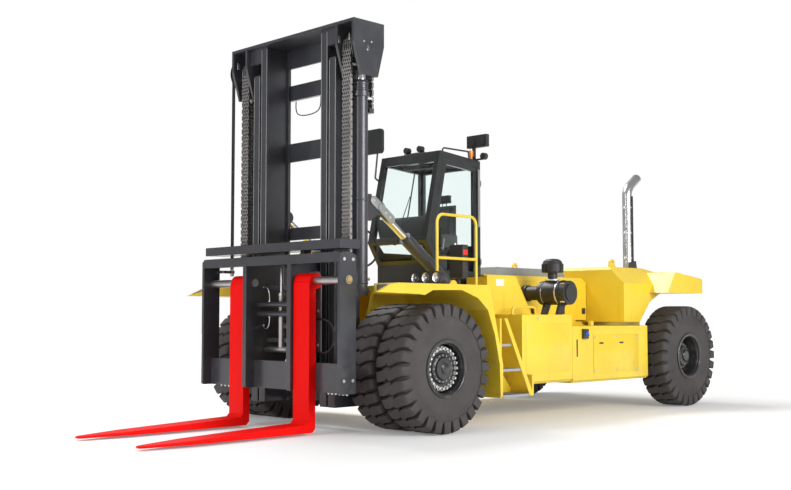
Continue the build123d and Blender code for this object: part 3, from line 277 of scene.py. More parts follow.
def rubber(name, dark, bloom, bump_scale=45, bump=0.25):
    """Vulcanised rubber with a dusty bloom."""
    material, tree, shader, place = new_finish(name)
    clouds = ranged(tree, noise(tree, place, 2.2, 6, 0.6), 0.3, 0.72)
    base = mixed(tree, clouds, dark, bloom)
    grains = ranged(tree, noise(tree, place, 38, 5, 0.7), 0.55, 0.8, 0.0, 0.5)
    base = mixed(tree, grains, base, tuple(min(1.0, 1.9 * v) for v in bloom))
    tree.links.new(base, shader.inputs["Base Color"])
    tree.links.new(ranged(tree, clouds, 0.0, 1.0, 0.62, 0.82), shader.inputs["Roughness"])
    shader.inputs["Specular IOR Level"].default_value = 0.4
    bumped(tree, shader, noise(tree, place, bump_scale, 6), bump, 0.003)
    return material


TYRE_RUBBER = rubber("tyre_rubber", (0.040, 0.036, 0.036), (0.085, 0.075, 0.075))
HOSE_RUBBER = rubber("hose_rubber", (0.016, 0.016, 0.017), (0.034, 0.034, 0.036), 160, 0.15)


def moulded(name, colour, rough, grain=220, strength=0.12):
    """Moulded plastic with a fine grain and faint handling marks."""
    material, tree, shader, place = new_finish(name)
    marks = ranged(tree, noise(tree, place, 6, 6, 0.65), 0.35, 0.75)
    base = mixed(tree, marks, colour, tuple(min(1.0, 1.35 * v + 0.004) for v in colour))
    tree.links.new(base, shader.inputs["Base Color"])
    tree.links.new(ranged(tree, marks, 0.0, 1.0, rough, min(1.0, rough + 0.15)), shader.inputs["Roughness"])
    bumped(tree, shader, noise(tree, place, grain, 2), strength, 0.001)
    return material


FILTER_BLACK = moulded("filter_black_plastic", (0.022, 0.021, 0.021), 0.42)
CAB_PLASTIC = moulded("cab_dark_plastic", (0.035, 0.037, 0.038), 0.55)
AMBER = moulded("amber_lens_plastic", (0.85, 0.22, 0.01), 0.15, 60, 0.05)
SIGN_RED = moulded("blank_plate_red", (0.75, 0.02, 0.01), 0.4)
SIGN_WHITE = moulded("blank_plate_pale", (0.72, 0.74, 0.74), 0.4)
SWITCH_BLUE = moulded("switch_blue_plastic", (0.02, 0.12, 0.45), 0.35)
print("plastics and rubbers ready")

# %% [markdown]
# Bare metals take their look from the reflection, so their roughness varies more than their colour.
# Long faint scratches along one axis make ground steel; a smooth, bright one makes chrome.
# %% Metals and glass


def metal(name, colour, rough, spread=0.12, stretch=(1, 1, 1), tarnish=0.25, scale=30):
    """Metal with a drifting polish and some tarnish."""
    material, tree, shader, place = new_finish(name)
    grain = noise(tree, place, scale, 4, 0.6, stretch)
    stain = ranged(tree, noise(tree, place, 3, 6, 0.65), 0.45, 0.75, 0.0, tarnish)
    base = mixed(tree, stain, colour, tuple(0.45 * v for v in colour))
    tree.links.new(base, shader.inputs["Base Color"])
    tree.links.new(ranged(tree, grain, 0.3, 0.7, rough, rough + spread), shader.inputs["Roughness"])
    shader.inputs["Metallic"].default_value = 1.0
    bumped(tree, shader, grain, 0.05, 0.001)
    return material


CHROME = metal("chrome_rod_metal", (0.74, 0.74, 0.76), 0.10, 0.08)
STEEL = metal("ground_steel_metal", (0.48, 0.47, 0.46), 0.30, 0.2, (1, 0.1, 1))
BOLT = metal("zinc_bolt_metal", (0.78, 0.78, 0.77), 0.26, 0.15)
CHAIN = metal("oiled_chain_metal", (0.34, 0.32, 0.31), 0.34, 0.2, tarnish=0.7)
STACK = metal("stack_bright_metal", (0.66, 0.66, 0.67), 0.22, 0.14, (3, 3, 0.2), 0.35)
LENS = metal("lamp_reflector_metal", (0.86, 0.87, 0.88), 0.14, 0.1)


def clear_glass(name, tint):
    """Tinted safety glass."""
    material, tree, shader, place = new_finish(name)
    smears = ranged(tree, noise(tree, place, 2.5, 5), 0.4, 0.8, 0.0, 0.05)
    tree.links.new(smears, shader.inputs["Roughness"])
    shader.inputs["Base Color"].default_value = (*tint, 1)
    shader.inputs["Transmission Weight"].default_value = 1.0
    shader.inputs["IOR"].default_value = 1.16
    return material


GLASS = clear_glass("cab_glass_tint", (0.92, 0.975, 0.965))


def woven(name, colour):
    """Seat cloth: two crossed sets of ribs."""
    material, tree, shader, place = new_finish(name)
    ribs = []
    for turn in (0.0, math.pi / 2):
        wires = {"Vector": place, "Rotation": (0, turn / 2, turn)}
        wires = {"Vector": add_node(tree, "ShaderNodeMapping", wires)["Vector"]}
        wires.update({"Scale": 90, "Distortion": 0.6})
        ribs.append(add_node(tree, "ShaderNodeTexWave", wires)["Fac"])
    weave = times(tree, ribs[0], ribs[1])
    base = mixed(tree, weave, colour, tuple(2.2 * v for v in colour))
    tree.links.new(base, shader.inputs["Base Color"])
    shader.inputs["Roughness"].default_value = 0.9
    shader.inputs["Sheen Weight"].default_value = 0.3
    bumped(tree, shader, weave, 0.4, 0.002)
    return material


SEAT_CLOTH = woven("seat_cloth_weave", (0.018, 0.020, 0.022))
print("materials", len(bpy.data.materials))

# %% [markdown]
# The CAD nodes that stay get their finish by assigning to their material slots.
# A table of finish to nodes is easier to read and to change than one line for each node.
# %% Finishes on the CAD nodes
FINISHES = (
    (YELLOW, "frame fenders deck counterweight side_tanks hood tilt_feet lifting_eyes handrail"),
    (COVER_GREY, "hood_cover"),
    (CHASSIS, "drive_axle steer_axle engine hood_hinges tow_hitch knuckle_left knuckle_right exhaust_shield"),
    (STEP_GREY, "entry_steps"),
    (BLACK, "outer_mast inner_mast crosshead carriage_frame upper_beam"),
    (BLACK, "tilt_barrel_left tilt_barrel_right lift_barrels positioner_barrels"),
    (RED, "fork_left fork_right"),
    (CHAIN, "chain_fronts chain_backs sheaves"),
    (CHROME, "lift_rods tilt_rod_left tilt_rod_right"),
    (STEEL, "fork_shaft"),
    (STACK, "exhaust_stack"),
    (FILTER_BLACK, "air_cleaner precleaner lamps switch_box"),
    (AMBER, "beacon"),
    (CAB_PAINT, "cab_shell door_frame cab_fittings"),
    (GLASS, "cab_glass door_glass"),
    (SEAT_CLOTH, "seat"),
    (CAB_PLASTIC, "seat_base steering_column"),
    (TYRE_RUBBER, "drive_tyres_left drive_tyres_right steer_tyre_left steer_tyre_right"),
    (RIM_PAINT, "drive_rims_left drive_rims_right steer_rim_left steer_rim_right"),
)
for material, names in FINISHES:
    for name in names.split():
        if name in nodes:
            nodes[name].data.materials.clear()
            nodes[name].data.materials.append(material)
bare = [name for name in nodes if not any(name in names.split() for _, names in FINISHES)]
print("nodes with no finish", bare)

# %% [markdown]
# ## Studio
# A pale floor and a white world, lit by broad lamps, as in a catalogue.
# The floor adds a little light of its own for camera rays only, so it turns white while it keeps the shadow.
# That light grows with the distance from the truck, until the floor's far edge is as white as the world.
# %% Floor and light


def glow_for_camera(tree, strength):
    """White emission that only the camera, mirrors and glass see."""
    rays = tree.nodes.new("ShaderNodeLightPath").outputs
    seen = maths(tree, "MAXIMUM", rays["Is Camera Ray"], rays["Is Glossy Ray"])
    return times(tree, maths(tree, "MAXIMUM", seen, rays["Is Transmission Ray"]), strength)


floor_mesh = bpy.data.meshes.new("studio_floor")
FLOOR = 60
floor_mesh.from_pydata(
    [(-FLOOR, -FLOOR, 0), (FLOOR, -FLOOR, 0), (FLOOR, FLOOR, 0), (-FLOOR, FLOOR, 0)], [], [(0, 1, 2, 3)]
)
floor = placed("studio_floor", floor_mesh)
floor_finish, floor_tree, floor_shader, floor_place = new_finish("studio_floor_white")
mottle = ranged(floor_tree, noise(floor_tree, floor_place, 0.4, 2), 0.3, 0.7)
floor_tree.links.new(
    mixed(floor_tree, mottle, (0.80, 0.80, 0.80), (0.83, 0.83, 0.83)), floor_shader.inputs["Base Color"]
)
floor_shader.inputs["Roughness"].default_value = 0.9
floor_shader.inputs["Specular IOR Level"].default_value = 0.1
floor_shader.inputs["Emission Color"].default_value = (1, 1, 1, 1)
away = add_node(floor_tree, "ShaderNodeVectorMath", {0: floor_place}, operation="LENGTH")
GLOW_FROM, GLOW_TO = 7, 20
GLOW_NEAR, GLOW_FAR = 0.18, 1.1
far_glow = ranged(floor_tree, away["Value"], GLOW_FROM, GLOW_TO, GLOW_NEAR, GLOW_FAR)
floor_tree.links.new(glow_for_camera(floor_tree, far_glow), floor_shader.inputs["Emission Strength"])
floor_mesh.materials.append(floor_finish)

world = bpy.data.worlds.new("studio")
bpy.context.scene.world = world
world.use_nodes = True
backdrop = world.node_tree.nodes["Background"]
WORLD_LIGHT = 0.36
rays = world.node_tree.nodes.new("ShaderNodeLightPath").outputs
seen = maths(world.node_tree, "MAXIMUM", rays["Is Camera Ray"], rays["Is Transmission Ray"])
level = ranged(world.node_tree, seen, 0.0, 1.0, WORLD_LIGHT, 1.0)
world.node_tree.links.new(level, backdrop.inputs["Strength"])
backdrop.inputs["Color"].default_value = (1, 1, 1, 1)


def soft_lamp(name, place, aim, size, power):
    """Broad rectangular lamp aimed at a point."""
    data = bpy.data.lights.new(name, "AREA")
    data.shape = "RECTANGLE"
    data.size, data.size_y = size
    data.energy = power
    lamp = placed(name, data)
    lamp.location = place
    lamp.rotation_euler = (Vector(aim) - Vector(place)).to_track_quat("-Z", "Y").to_euler()


soft_lamp("key", (0, 16, 6.0), (0, 0, 1.8), (9, 6), 1900)
soft_lamp("front", (15, 0, 6), (2, 0, 2.6), (6, 6), 640)
soft_lamp("top", (-1, -6, 12), (-1, 0.5, 0), (8, 5), 1500)
bpy.context.scene.view_settings.view_transform = "Standard"
print("studio ready")

# %% [markdown]
# ## Making pieces
# Every piece is built in one small mesh workshop. A stock collects solids, each one a loft between rings,
# and hands over a finished object: faces outwards, edges rounded, riding on its CAD body.
# Lengths in a stock are measured from the drive axle, and the whole mesh is moved once at the end.
# %% Mesh workshop


def evaluated(obj):
    """The object's mesh after its modifiers."""
    graph = bpy.context.evaluated_depsgraph_get()
    graph.update()
    return bpy.data.meshes.new_from_object(obj.evaluated_get(graph))


def smooth_curve(name, points, radius, roundness, steps):
    """Round pipe on a NURBS line that starts and ends at its end points."""
    data = bpy.data.curves.new(name, "CURVE")
    data.dimensions = "3D"
    data.bevel_depth = radius
    data.bevel_resolution = roundness
    data.resolution_u = steps
    data.use_fill_caps = True
    spline = data.splines.new("NURBS")
    spline.points.add(len(points) - 1)
    for target, point in zip(spline.points, points):
        target.co = (*point, 1)
    spline.order_u = 3
    spline.use_endpoint_u = True
    return data


def settled(obj, name, finish, body, smooth):
    """Replace a modified object by its plain mesh, shade it and let it ride on its body, if it has one."""
    plain = evaluated(obj)
    plain.name = name
    plain.materials.clear()
    plain.materials.append(finish)
    for polygon in plain.polygons:
        polygon.material_index = 0
    plain.shade_smooth()
    plain.set_sharp_from_angle(angle=math.radians(smooth))
    bpy.data.objects.remove(obj)
    piece = placed(name, plain)
    if body:
        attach(piece, body)
    return piece


class Stock:
    """Solids collected in one mesh."""

    def __init__(self):
        self.mesh = bmesh.new()

    def loft(self, rings, closed=False):
        """Skin between rings of points. It has flat ends, or closes on itself."""
        rows = [[self.mesh.verts.new(point) for point in ring] for ring in rings]
        count = len(rows[0])
        pairs = list(zip(rows, rows[1:]))
        if closed:
            pairs.append((rows[-1], rows[0]))
        for low, high in pairs:
            for i in range(count):
                j = (i + 1) % count
                self.mesh.faces.new((low[i], low[j], high[j], high[i]))
        if not closed:
            self.mesh.faces.new(rows[0][::-1])
            self.mesh.faces.new(rows[-1])

    def slab(self, across, outline, low, high):
        """Outline in the plane across one axis, extruded from low to high."""
        order = {"x": (2, 0, 1), "y": (0, 2, 1), "z": (0, 1, 2)}[across]
        rings = []
        for level in (low, high):
            rings.append([tuple((*pair, level)[k] for k in order) for pair in outline])
        self.loft(rings)

    def block(self, x, y, z):
        """Box between pairs of coordinates."""
        self.slab("z", [(x[0], y[0]), (x[1], y[0]), (x[1], y[1]), (x[0], y[1])], *z)

    def turned(self, profile, start, axis, sides=48, closed=False):
        """Lathe work: (radius, distance) pairs turned about an axis."""
        axis = Vector(axis).normalized()
        across = axis.orthogonal().normalized()
        other = axis.cross(across)
        turns = [2 * math.pi * i / sides for i in range(sides)]
        rings = []
        for radius, along in profile:
            centre = Vector(start) + axis * along
            rings.append([centre + (across * math.cos(t) + other * math.sin(t)) * radius for t in turns])
        self.loft(rings, closed)

    def bar(self, start, end, radius, sides=20, end_radius=None):
        """Round bar or cone between two points."""
        run = Vector(end) - Vector(start)
        self.turned([(radius, 0), (end_radius or radius, run.length)], start, run, sides)

    def hose(self, points, radius, sides=4):
        """Smooth round pipe that follows points."""
        route = placed("route", smooth_curve("route", points, radius, sides // 2, 8))
        tube = evaluated(route)
        self.mesh.from_mesh(tube)
        bpy.data.objects.remove(route)
        bpy.data.meshes.remove(tube)

    def mirrored(self):
        """Add the mirror image on the truck's other side."""
        parts = self.mesh.verts[:] + self.mesh.edges[:] + self.mesh.faces[:]
        copied = bmesh.ops.duplicate(self.mesh, geom=parts)["geom"]
        for part in copied:
            if isinstance(part, bmesh.types.BMVert):
                part.co.y = -part.co.y
        return self

    def flipped(self, side):
        """Move the solids to the given side."""
        for vert in self.mesh.verts:
            vert.co.y *= side
        return self

    def band(self, inner, outer, start, width, chamfer, centre, axis, sides):
        """Clamping band round a cylinder."""
        stop = start + width
        section = ((inner, start), (outer, start + chamfer), (outer, stop - chamfer), (inner, stop))
        self.turned(section, centre, axis, sides, closed=True)

    def data(self, name):
        """Hand over the bare mesh with its faces outwards."""
        self.mesh.normal_update()  # a mirrored copy still carries the normals of its source
        bmesh.ops.recalc_face_normals(self.mesh, faces=self.mesh.faces[:])
        data = bpy.data.meshes.new(name)
        self.mesh.to_mesh(data)
        self.mesh.free()
        return data

    def placed_data(self, name):
        """An object with the bare mesh, moved from the drive axle's place to the frame's."""
        bmesh.ops.translate(self.mesh, verts=self.mesh.verts[:], vec=(AXLE_X, 0, 0))
        return placed(name, self.data(name))

    def piece(self, name, body, slot, finish, bevel=0.0, smooth=35):
        """Hand over the stock as one finished object."""
        obj = self.placed_data(name + "_stock")
        if bevel:
            soft = obj.modifiers.new("edges", "BEVEL")
            soft.width = bevel
            soft.segments = 2
            soft.limit_method = "ANGLE"
            soft.angle_limit = math.radians(30)
        piece = settled(obj, name, finish, body, smooth)
        print(name, len(piece.data.polygons), "faces")
        return piece


# %% [markdown]
# ## Geometry Nodes for what repeats
# Three small trees do all the repeating. One makes a stud with its washer at every point and turns it to face
# the way the point says. One turns a copy of its own mesh about an axle. One lays copies in a straight row.
# Each ends by realizing its instances, because the export keeps only real mesh.
# %% Repeat trees


def new_tree(name, sockets):
    """A geometry tree with named inputs."""
    tree = bpy.data.node_groups.new(name, "GeometryNodeTree")
    tree.interface.new_socket("Geometry", in_out="INPUT", socket_type="NodeSocketGeometry")
    for label, kind in sockets:
        tree.interface.new_socket(label, in_out="INPUT", socket_type=kind)
    tree.interface.new_socket("Geometry", in_out="OUTPUT", socket_type="NodeSocketGeometry")
    return tree, tree.nodes.new("NodeGroupInput").outputs


def closing(tree, geometry, material):
    """End a tree: real mesh with its material."""
    real = add_node(tree, "GeometryNodeRealizeInstances", {0: geometry})[0]
    paint = add_node(tree, "GeometryNodeSetMaterial", {"Geometry": real, "Material": material})[0]
    add_node(tree, "NodeGroupOutput", {0: paint})


def cylinder(tree, sides, radius, depth):
    """A cylinder that stands on its point."""
    wires = {"Vertices": sides, "Radius": radius, "Depth": depth}
    centred = add_node(tree, "GeometryNodeMeshCylinder", wires)["Mesh"]
    lift = add_node(tree, "ShaderNodeCombineXYZ", {"Z": maths(tree, "MULTIPLY", depth, 0.5)})[0]
    return add_node(tree, "GeometryNodeTransform", {"Geometry": centred, "Translation": lift})[0]


def stud_tree():
    """A hexagon head on a washer at every point of the host."""
    number = "NodeSocketFloat"
    tree, given = new_tree(
        "studs", (("Radius", number), ("Height", number), ("Material", "NodeSocketMaterial"))
    )
    washer_radius = maths(tree, "MULTIPLY", given["Radius"], 1.45)
    washer_height = maths(tree, "MULTIPLY", given["Height"], 0.25)
    join = tree.nodes.new("GeometryNodeJoinGeometry")
    tree.links.new(cylinder(tree, 6, given["Radius"], given["Height"]), join.inputs[0])
    tree.links.new(cylinder(tree, 16, washer_radius, washer_height), join.inputs[0])
    wires = {"Name": "facing"}
    facing = add_node(tree, "GeometryNodeInputNamedAttribute", wires, data_type="FLOAT_VECTOR")
    wires = {"Vector": facing["Attribute"]}
    turn = add_node(tree, "FunctionNodeAlignRotationToVector", wires, axis="Z")[0]
    points = add_node(tree, "GeometryNodeMeshToPoints", {0: given["Geometry"]})[0]
    wires = {"Points": points, "Instance": join.outputs[0], "Rotation": turn}
    place = add_node(tree, "GeometryNodeInstanceOnPoints", wires)[0]
    closing(tree, place, given["Material"])
    return tree


def spread_tree(name, around):
    """Copies of the host's mesh around the Y axis, or in a straight row."""
    step_kind = "NodeSocketFloat" if around else "NodeSocketVector"
    tree, given = new_tree(
        name, (("Count", "NodeSocketInt"), ("Step", step_kind), ("Material", "NodeSocketMaterial"))
    )
    wires = {"Instance": given["Geometry"]}
    offset = given["Step"]
    if around:
        offset = (0, 0, 0)
        index = tree.nodes.new("GeometryNodeInputIndex").outputs[0]
        angle = maths(tree, "MULTIPLY", index, given["Step"])
        turn = add_node(tree, "ShaderNodeCombineXYZ", {"Y": angle})[0]
        wires["Rotation"] = add_node(tree, "FunctionNodeEulerToRotation", {0: turn})[0]
    line = add_node(tree, "GeometryNodeMeshLine", {"Count": given["Count"], "Offset": offset})
    wires["Points"] = line[0]
    place = add_node(tree, "GeometryNodeInstanceOnPoints", wires)[0]
    closing(tree, place, given["Material"])
    return tree


STUDS = stud_tree()
AROUND = spread_tree("around_the_axle", True)
ROW = spread_tree("in_a_row", False)


def grown(tree, data, name, body, slot, finish, shift=(0, 0, 0), smooth=35, **inputs):
    """Run a tree on a host mesh and keep the result as one plain piece."""
    host = placed(name + "_host", data)
    modifier = host.modifiers.new("repeat", "NODES")
    modifier.node_group = tree
    inputs["Material"] = finish
    for item in tree.interface.items_tree:
        if item.name in inputs:
            modifier[item.identifier] = inputs[item.name]
    piece = settled(host, name, finish, body, smooth)
    piece.data.transform(Matrix.Translation((AXLE_X + shift[0], shift[1], shift[2])))
    print(name, len(piece.data.polygons), "faces")
    return piece


def studs(name, places, body, slot, radius, height, finish=None):
    """Studs at (point, facing) pairs measured from the drive axle."""
    data = bpy.data.meshes.new(name + "_points")
    data.from_pydata([point for point, _ in places], [], [])
    facing = data.attributes.new("facing", "FLOAT_VECTOR", "POINT")
    for item, (_, direction) in zip(facing.data, places):
        item.vector = direction
    return grown(STUDS, data, name, body, slot, finish or BOLT, Radius=radius, Height=height)


def gather(mesh, pieces):
    """Join pieces into a mesh, one after the other, and remove their objects."""
    merged = bmesh.new()
    merged.from_mesh(mesh)
    for piece in pieces:
        merged.from_mesh(piece.data)
        bpy.data.objects.remove(piece)
    merged.to_mesh(mesh)
    merged.free()


def on_sides(spots, y):
    """Places of studs at (x, z) spots on both sides of the truck, facing outwards."""
    return [((x, side * y, z), (0, side, 0)) for side in BOTH for x, z in spots]


print("repeat trees ready")

# %% [markdown]
# ## Tyres
# An earthmover tyre has bulged walls, a bead that grips the rim, and deep lugs that wrap over the shoulder.
# The carcass is lathe work. One lug is lofted and a tree turns 28 of them about the axle,
# then a mirrored set half a step on makes the other shoulder, so the grooves meet in a zigzag.
# %% Tyres
LUGS = 28
LUG_STEP = 2 * math.pi / LUGS
WALL = (
    (0.3425, 0.200), (0.346, 0.216), (0.358, 0.2235), (0.383, 0.2262), (0.392, 0.2300), (0.404, 0.2345),
    (0.440, 0.2415), (0.500, 0.2475), (0.560, 0.2495), (0.606, 0.2485), (0.616, 0.2440), (0.650, 0.2430),
    (0.676, 0.2390), (0.696, 0.2290), (0.722, 0.2100), (0.750, 0.1920), (0.771, 0.1680), (0.785, 0.130),
    (0.792, 0.060), (0.793, 0.0),
)
LUG_TAPER = 0.006
LUG_CHAMFER = 0.004
# (y, x offset, half width, inner radius, outer radius) from the wall to the middle of the tread
LUG_STATIONS = (
    (0.2490, 0.000, 0.055, 0.672, 0.792),
    (0.2400, 0.000, 0.060, 0.674, 0.824),
    (0.2200, 0.002, 0.063, 0.690, 0.8400),
    (0.1950, 0.005, 0.066, 0.730, 0.8462),
    (0.1400, 0.014, 0.068, 0.770, 0.8468),
    (0.0800, 0.034, 0.071, 0.780, 0.8466),
    (0.0300, 0.060, 0.069, 0.782, 0.8464),
    (-0.020, 0.085, 0.040, 0.784, 0.8468),
)


def lug_mesh(name, side):
    """One lug at the top of the tyre, centred on the axle."""
    stock = Stock()
    rings = []
    for y, shift, half, low, high in LUG_STATIONS:
        behind, ahead = shift - half, shift + half
        rings.append(
            [
                (side * (behind - LUG_TAPER), side * y, low),
                (side * (ahead + LUG_TAPER), side * y, low),
                (side * ahead, side * y, math.sqrt(high**2 - ahead**2)),
                (side * behind, side * y, math.sqrt(high**2 - behind**2)),
            ]
        )
    stock.loft(rings)
    bmesh.ops.recalc_face_normals(stock.mesh, faces=stock.mesh.faces[:])
    bmesh.ops.bevel(
        stock.mesh, geom=stock.mesh.edges[:], offset=LUG_CHAMFER, segments=1, affect="EDGES",
        clamp_overlap=True,
    )
    if side < 0:
        half_step = Matrix.Rotation(LUG_STEP / 2, 3, "Y")
        bmesh.ops.rotate(stock.mesh, verts=stock.mesh.verts[:], matrix=half_step)
    return stock.data(name)


def tyre(stock, x, y):
    """Carcass of one tyre, walls and tread base in one closed lathe section."""
    section = list(WALL) + [(r, -w) for r, w in reversed(WALL[:-1])]
    stock.turned([(r, w + y) for r, w in section], (x, 0, AXLE_Z), ACROSS, 96, closed=True)


def dressed_tyres(name, body, node, x, centres):
    """All tyres of one wheel body: carcasses and lugs joined in one piece."""
    stock = Stock()
    for y in centres:
        tyre(stock, x, y)
    carcass = stock.piece(name, body, "rubber", TYRE_RUBBER, smooth=30)
    rings = (
        grown(
            AROUND, lug_mesh("lug", side), "lug_ring", body, "rubber", TYRE_RUBBER,
            (x, y, AXLE_Z), Count=LUGS, Step=LUG_STEP,
        )
        for y in centres
        for side in BOTH
    )
    gather(carcass.data, rings)
    carcass.data.set_sharp_from_angle(angle=math.radians(30))
    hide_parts(node)


outer_low, outer_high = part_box("drive_tyres_left")
TYRE_WIDE = 0.5
OUTER_Y = outer_high.y - TYRE_WIDE / 2
INNER_Y = outer_low.y + TYRE_WIDE / 2
wheel_low, wheel_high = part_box("steer_tyre_left")
STEER_Y = (wheel_low.y + wheel_high.y) / 2
for label, side in SIDES:
    dressed_tyres(
        "drive_twin_tyres_" + label, "drive_wheel_" + label, "drive_tyres_" + label,
        0.0, (side * INNER_Y, side * OUTER_Y),
    )
    dressed_tyres(
        "steered_tyre_" + label, "steer_wheel_" + label, "steer_tyre_" + label, STEER_X, (side * STEER_Y,)
    )

# %% [markdown]
# ## Rims and hubs
# A rim is a rolled section: a lip that holds the bead, a gutter and a straight barrel. A dished disc
# carries it on the hub, whose planetary gears sit under the stepped cap. The drive wheels' nuts stay
# bright because they are undone at every tyre change, so they get the zinc finish.
# %% Rims
RIM_SECTION = (
    (0.3418, 0.2272), (0.374, 0.2276), (0.381, 0.232), (0.3815, 0.239), (0.376, 0.2438), (0.348, 0.2438),
    (0.338, 0.240), (0.331, 0.231), (0.329, 0.205), (0.321, 0.196), (0.317, 0.180),
)


def rim_barrel(stock, x, y):
    """Rolled section of one rim, closed on itself."""
    section = [(r, y + w) for r, w in RIM_SECTION] + [(r, y - w) for r, w in reversed(RIM_SECTION)]
    stock.turned(section, (x, 0, AXLE_Z), ACROSS, 72, closed=True)


def nut_ring(x, y, radius, count):
    """Places of nuts on a circle that faces outwards."""
    places = []
    for i in range(count):
        t = 2 * math.pi * i / count
        point = (x + radius * math.cos(t), y, AXLE_Z + radius * math.sin(t))
        places.append((point, (0, math.copysign(1, y), 0)))
    return places


DRIVE_HUB = (
    (0.2045, -0.430), (0.2045, 0.134), (0.198, 0.150), (0.188, 0.158), (0.158, 0.1595), (0.150, 0.164),
    (0.149, 0.185), (0.141, 0.1945), (0.088, 0.1948), (0.080, 0.1952), (0.069, 0.199), (0.068, 0.209),
    (0.060, 0.2145), (0.022, 0.2148),
)
DRIVE_DISC = (
    (0.203, 0.133), (0.296, 0.133), (0.303, 0.127), (0.3165, 0.062), (0.3165, 0.044), (0.305, 0.052),
    (0.295, 0.112), (0.289, 0.118), (0.203, 0.118),
)
STEER_HUB = (
    (0.164, -0.060), (0.164, 0.122), (0.156, 0.136), (0.098, 0.140), (0.090, 0.146), (0.088, 0.166),
    (0.078, 0.174), (0.020, 0.174),
)
STEER_DISC = (
    (0.162, 0.060), (0.238, 0.060), (0.256, 0.052), (0.296, 0.010), (0.3165, -0.004), (0.3165, -0.024),
    (0.288, -0.008), (0.246, 0.036), (0.232, 0.040), (0.162, 0.040),
)
for label, side in SIDES:
    stock = Stock()
    rim_barrel(stock, 0.0, OUTER_Y)
    rim_barrel(stock, 0.0, INNER_Y)
    centre = (0, OUTER_Y, AXLE_Z)
    spacer = ((0.317, -0.318), (0.3405, -0.318), (0.3405, -0.242), (0.317, -0.242))
    stock.turned(spacer, centre, ACROSS, 72, closed=True)
    stock.turned(DRIVE_HUB, centre, ACROSS, 72)
    stock.turned(DRIVE_DISC, centre, ACROSS, 72, closed=True)
    rims = stock.flipped(side).piece(
        "drive_rims_hub_" + label, "drive_wheel_" + label, "rim_black", RIM_PAINT
    )
    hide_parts("drive_rims_" + label)
    face = side * (OUTER_Y + 0.132)
    studs(
        "drive_nuts_" + label, nut_ring(0, face, 0.262, 24), "drive_wheel_" + label, "rim_black",
        0.018, 0.042,
    )
    face = side * (OUTER_Y + 0.158)
    studs(
        "hub_bolts_" + label, nut_ring(0, face, 0.173, 16), "drive_wheel_" + label, "rim_black",
        0.008, 0.010, STEEL,
    )
    stock = Stock()
    rim_barrel(stock, STEER_X, STEER_Y)
    centre = (STEER_X, STEER_Y, AXLE_Z)
    stock.turned(STEER_HUB, centre, ACROSS, 64)
    stock.turned(STEER_DISC, centre, ACROSS, 64, closed=True)
    rims = stock.flipped(side).piece(
        "steered_rim_hub_" + label, "steer_wheel_" + label, "rim_black", RIM_PAINT
    )
    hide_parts("steer_rim_" + label)
    face = side * (STEER_Y + 0.058)
    studs(
        "steered_nuts_" + label, nut_ring(STEER_X, face, 0.196, 20), "steer_wheel_" + label, "rim_black",
        0.015, 0.030, STEEL,
    )

# %% [markdown]
# ## Leaf chains
# A fork truck's lift chain is a leaf chain: rows of thin waisted plates on pins, with no rollers at all.
# Odd and even rows are set one pitch apart. Two pitches are modelled once for both sides of the truck, and
# a tree lays them up each strand and round the sheaves. The front strands shorten as the carriage climbs;
# here they ride on the carriage. The back strands reach from the outer mast to the rising one; here they
# stay where they are built.
# %% Chains
PITCH = 0.0492857
LINK = (
    (-0.018, 0), (-0.013, -0.013), (0, -0.018), (0.013, -0.013), (0.018, 0), (0.015, 0.025), (0.018, PITCH),
    (0.013, PITCH + 0.013), (0, PITCH + 0.018), (-0.013, PITCH + 0.013), (-0.018, PITCH), (-0.015, 0.025),
)
FRONT_CHAIN = (0.8853, 2.330, 5.090)
BACK_CHAIN = (0.4947, 4.300, 5.090)
SHEAVE = (0.690, 5.090)
CHAIN_WRAP = (FRONT_CHAIN[0] - BACK_CHAIN[0]) / 2


def chain_unit(name, shift=0.0):
    """Two pitches of leaf chain on both sides of the truck, standing up."""
    stock = Stock()
    for side in BOTH:
        for row in range(9):
            low = side * (1.022 + row * 0.0184)
            start = PITCH if row % 2 else 0.0
            stock.slab("y", [(shift + x, start + z) for x, z in LINK], low, low + side * 0.0165)
        for z in (0.0, PITCH):
            stock.bar((shift, side * 1.0225, z), (shift, side * 1.1875, z), 0.009, 8)
    return stock.data(name)


def chain_strand(name, place, body):
    """Straight strands on both sides, in whole units from low to high."""
    x, low, high = place
    count = round((high - low) / (2 * PITCH))
    step = (0, 0, 2 * PITCH)
    return grown(
        ROW, chain_unit(name), name, body, "chain_steel", CHAIN, (x, 0, low), Count=count, Step=step
    )


fronts = chain_strand("front_leaf_chains", FRONT_CHAIN, "carriage")
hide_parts("chain_fronts")
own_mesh(fronts)
backs = chain_strand("back_leaf_chains", BACK_CHAIN, None)
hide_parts("chain_backs")
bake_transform(backs)
WRAP_UNITS = 6
wrap_start = chain_unit("wrap_unit", -CHAIN_WRAP)
wrap_start.transform(Matrix.Translation((0, 0, -PITCH)))
wrap_start.transform(Matrix.Rotation(math.pi / WRAP_UNITS / 2, 4, "Y"))
grown(
    AROUND, wrap_start, "wrapped_leaf_chains", "inner_mast", "chain_steel", CHAIN,
    (SHEAVE[0], 0, SHEAVE[1]), Count=WRAP_UNITS, Step=math.pi / WRAP_UNITS,
)
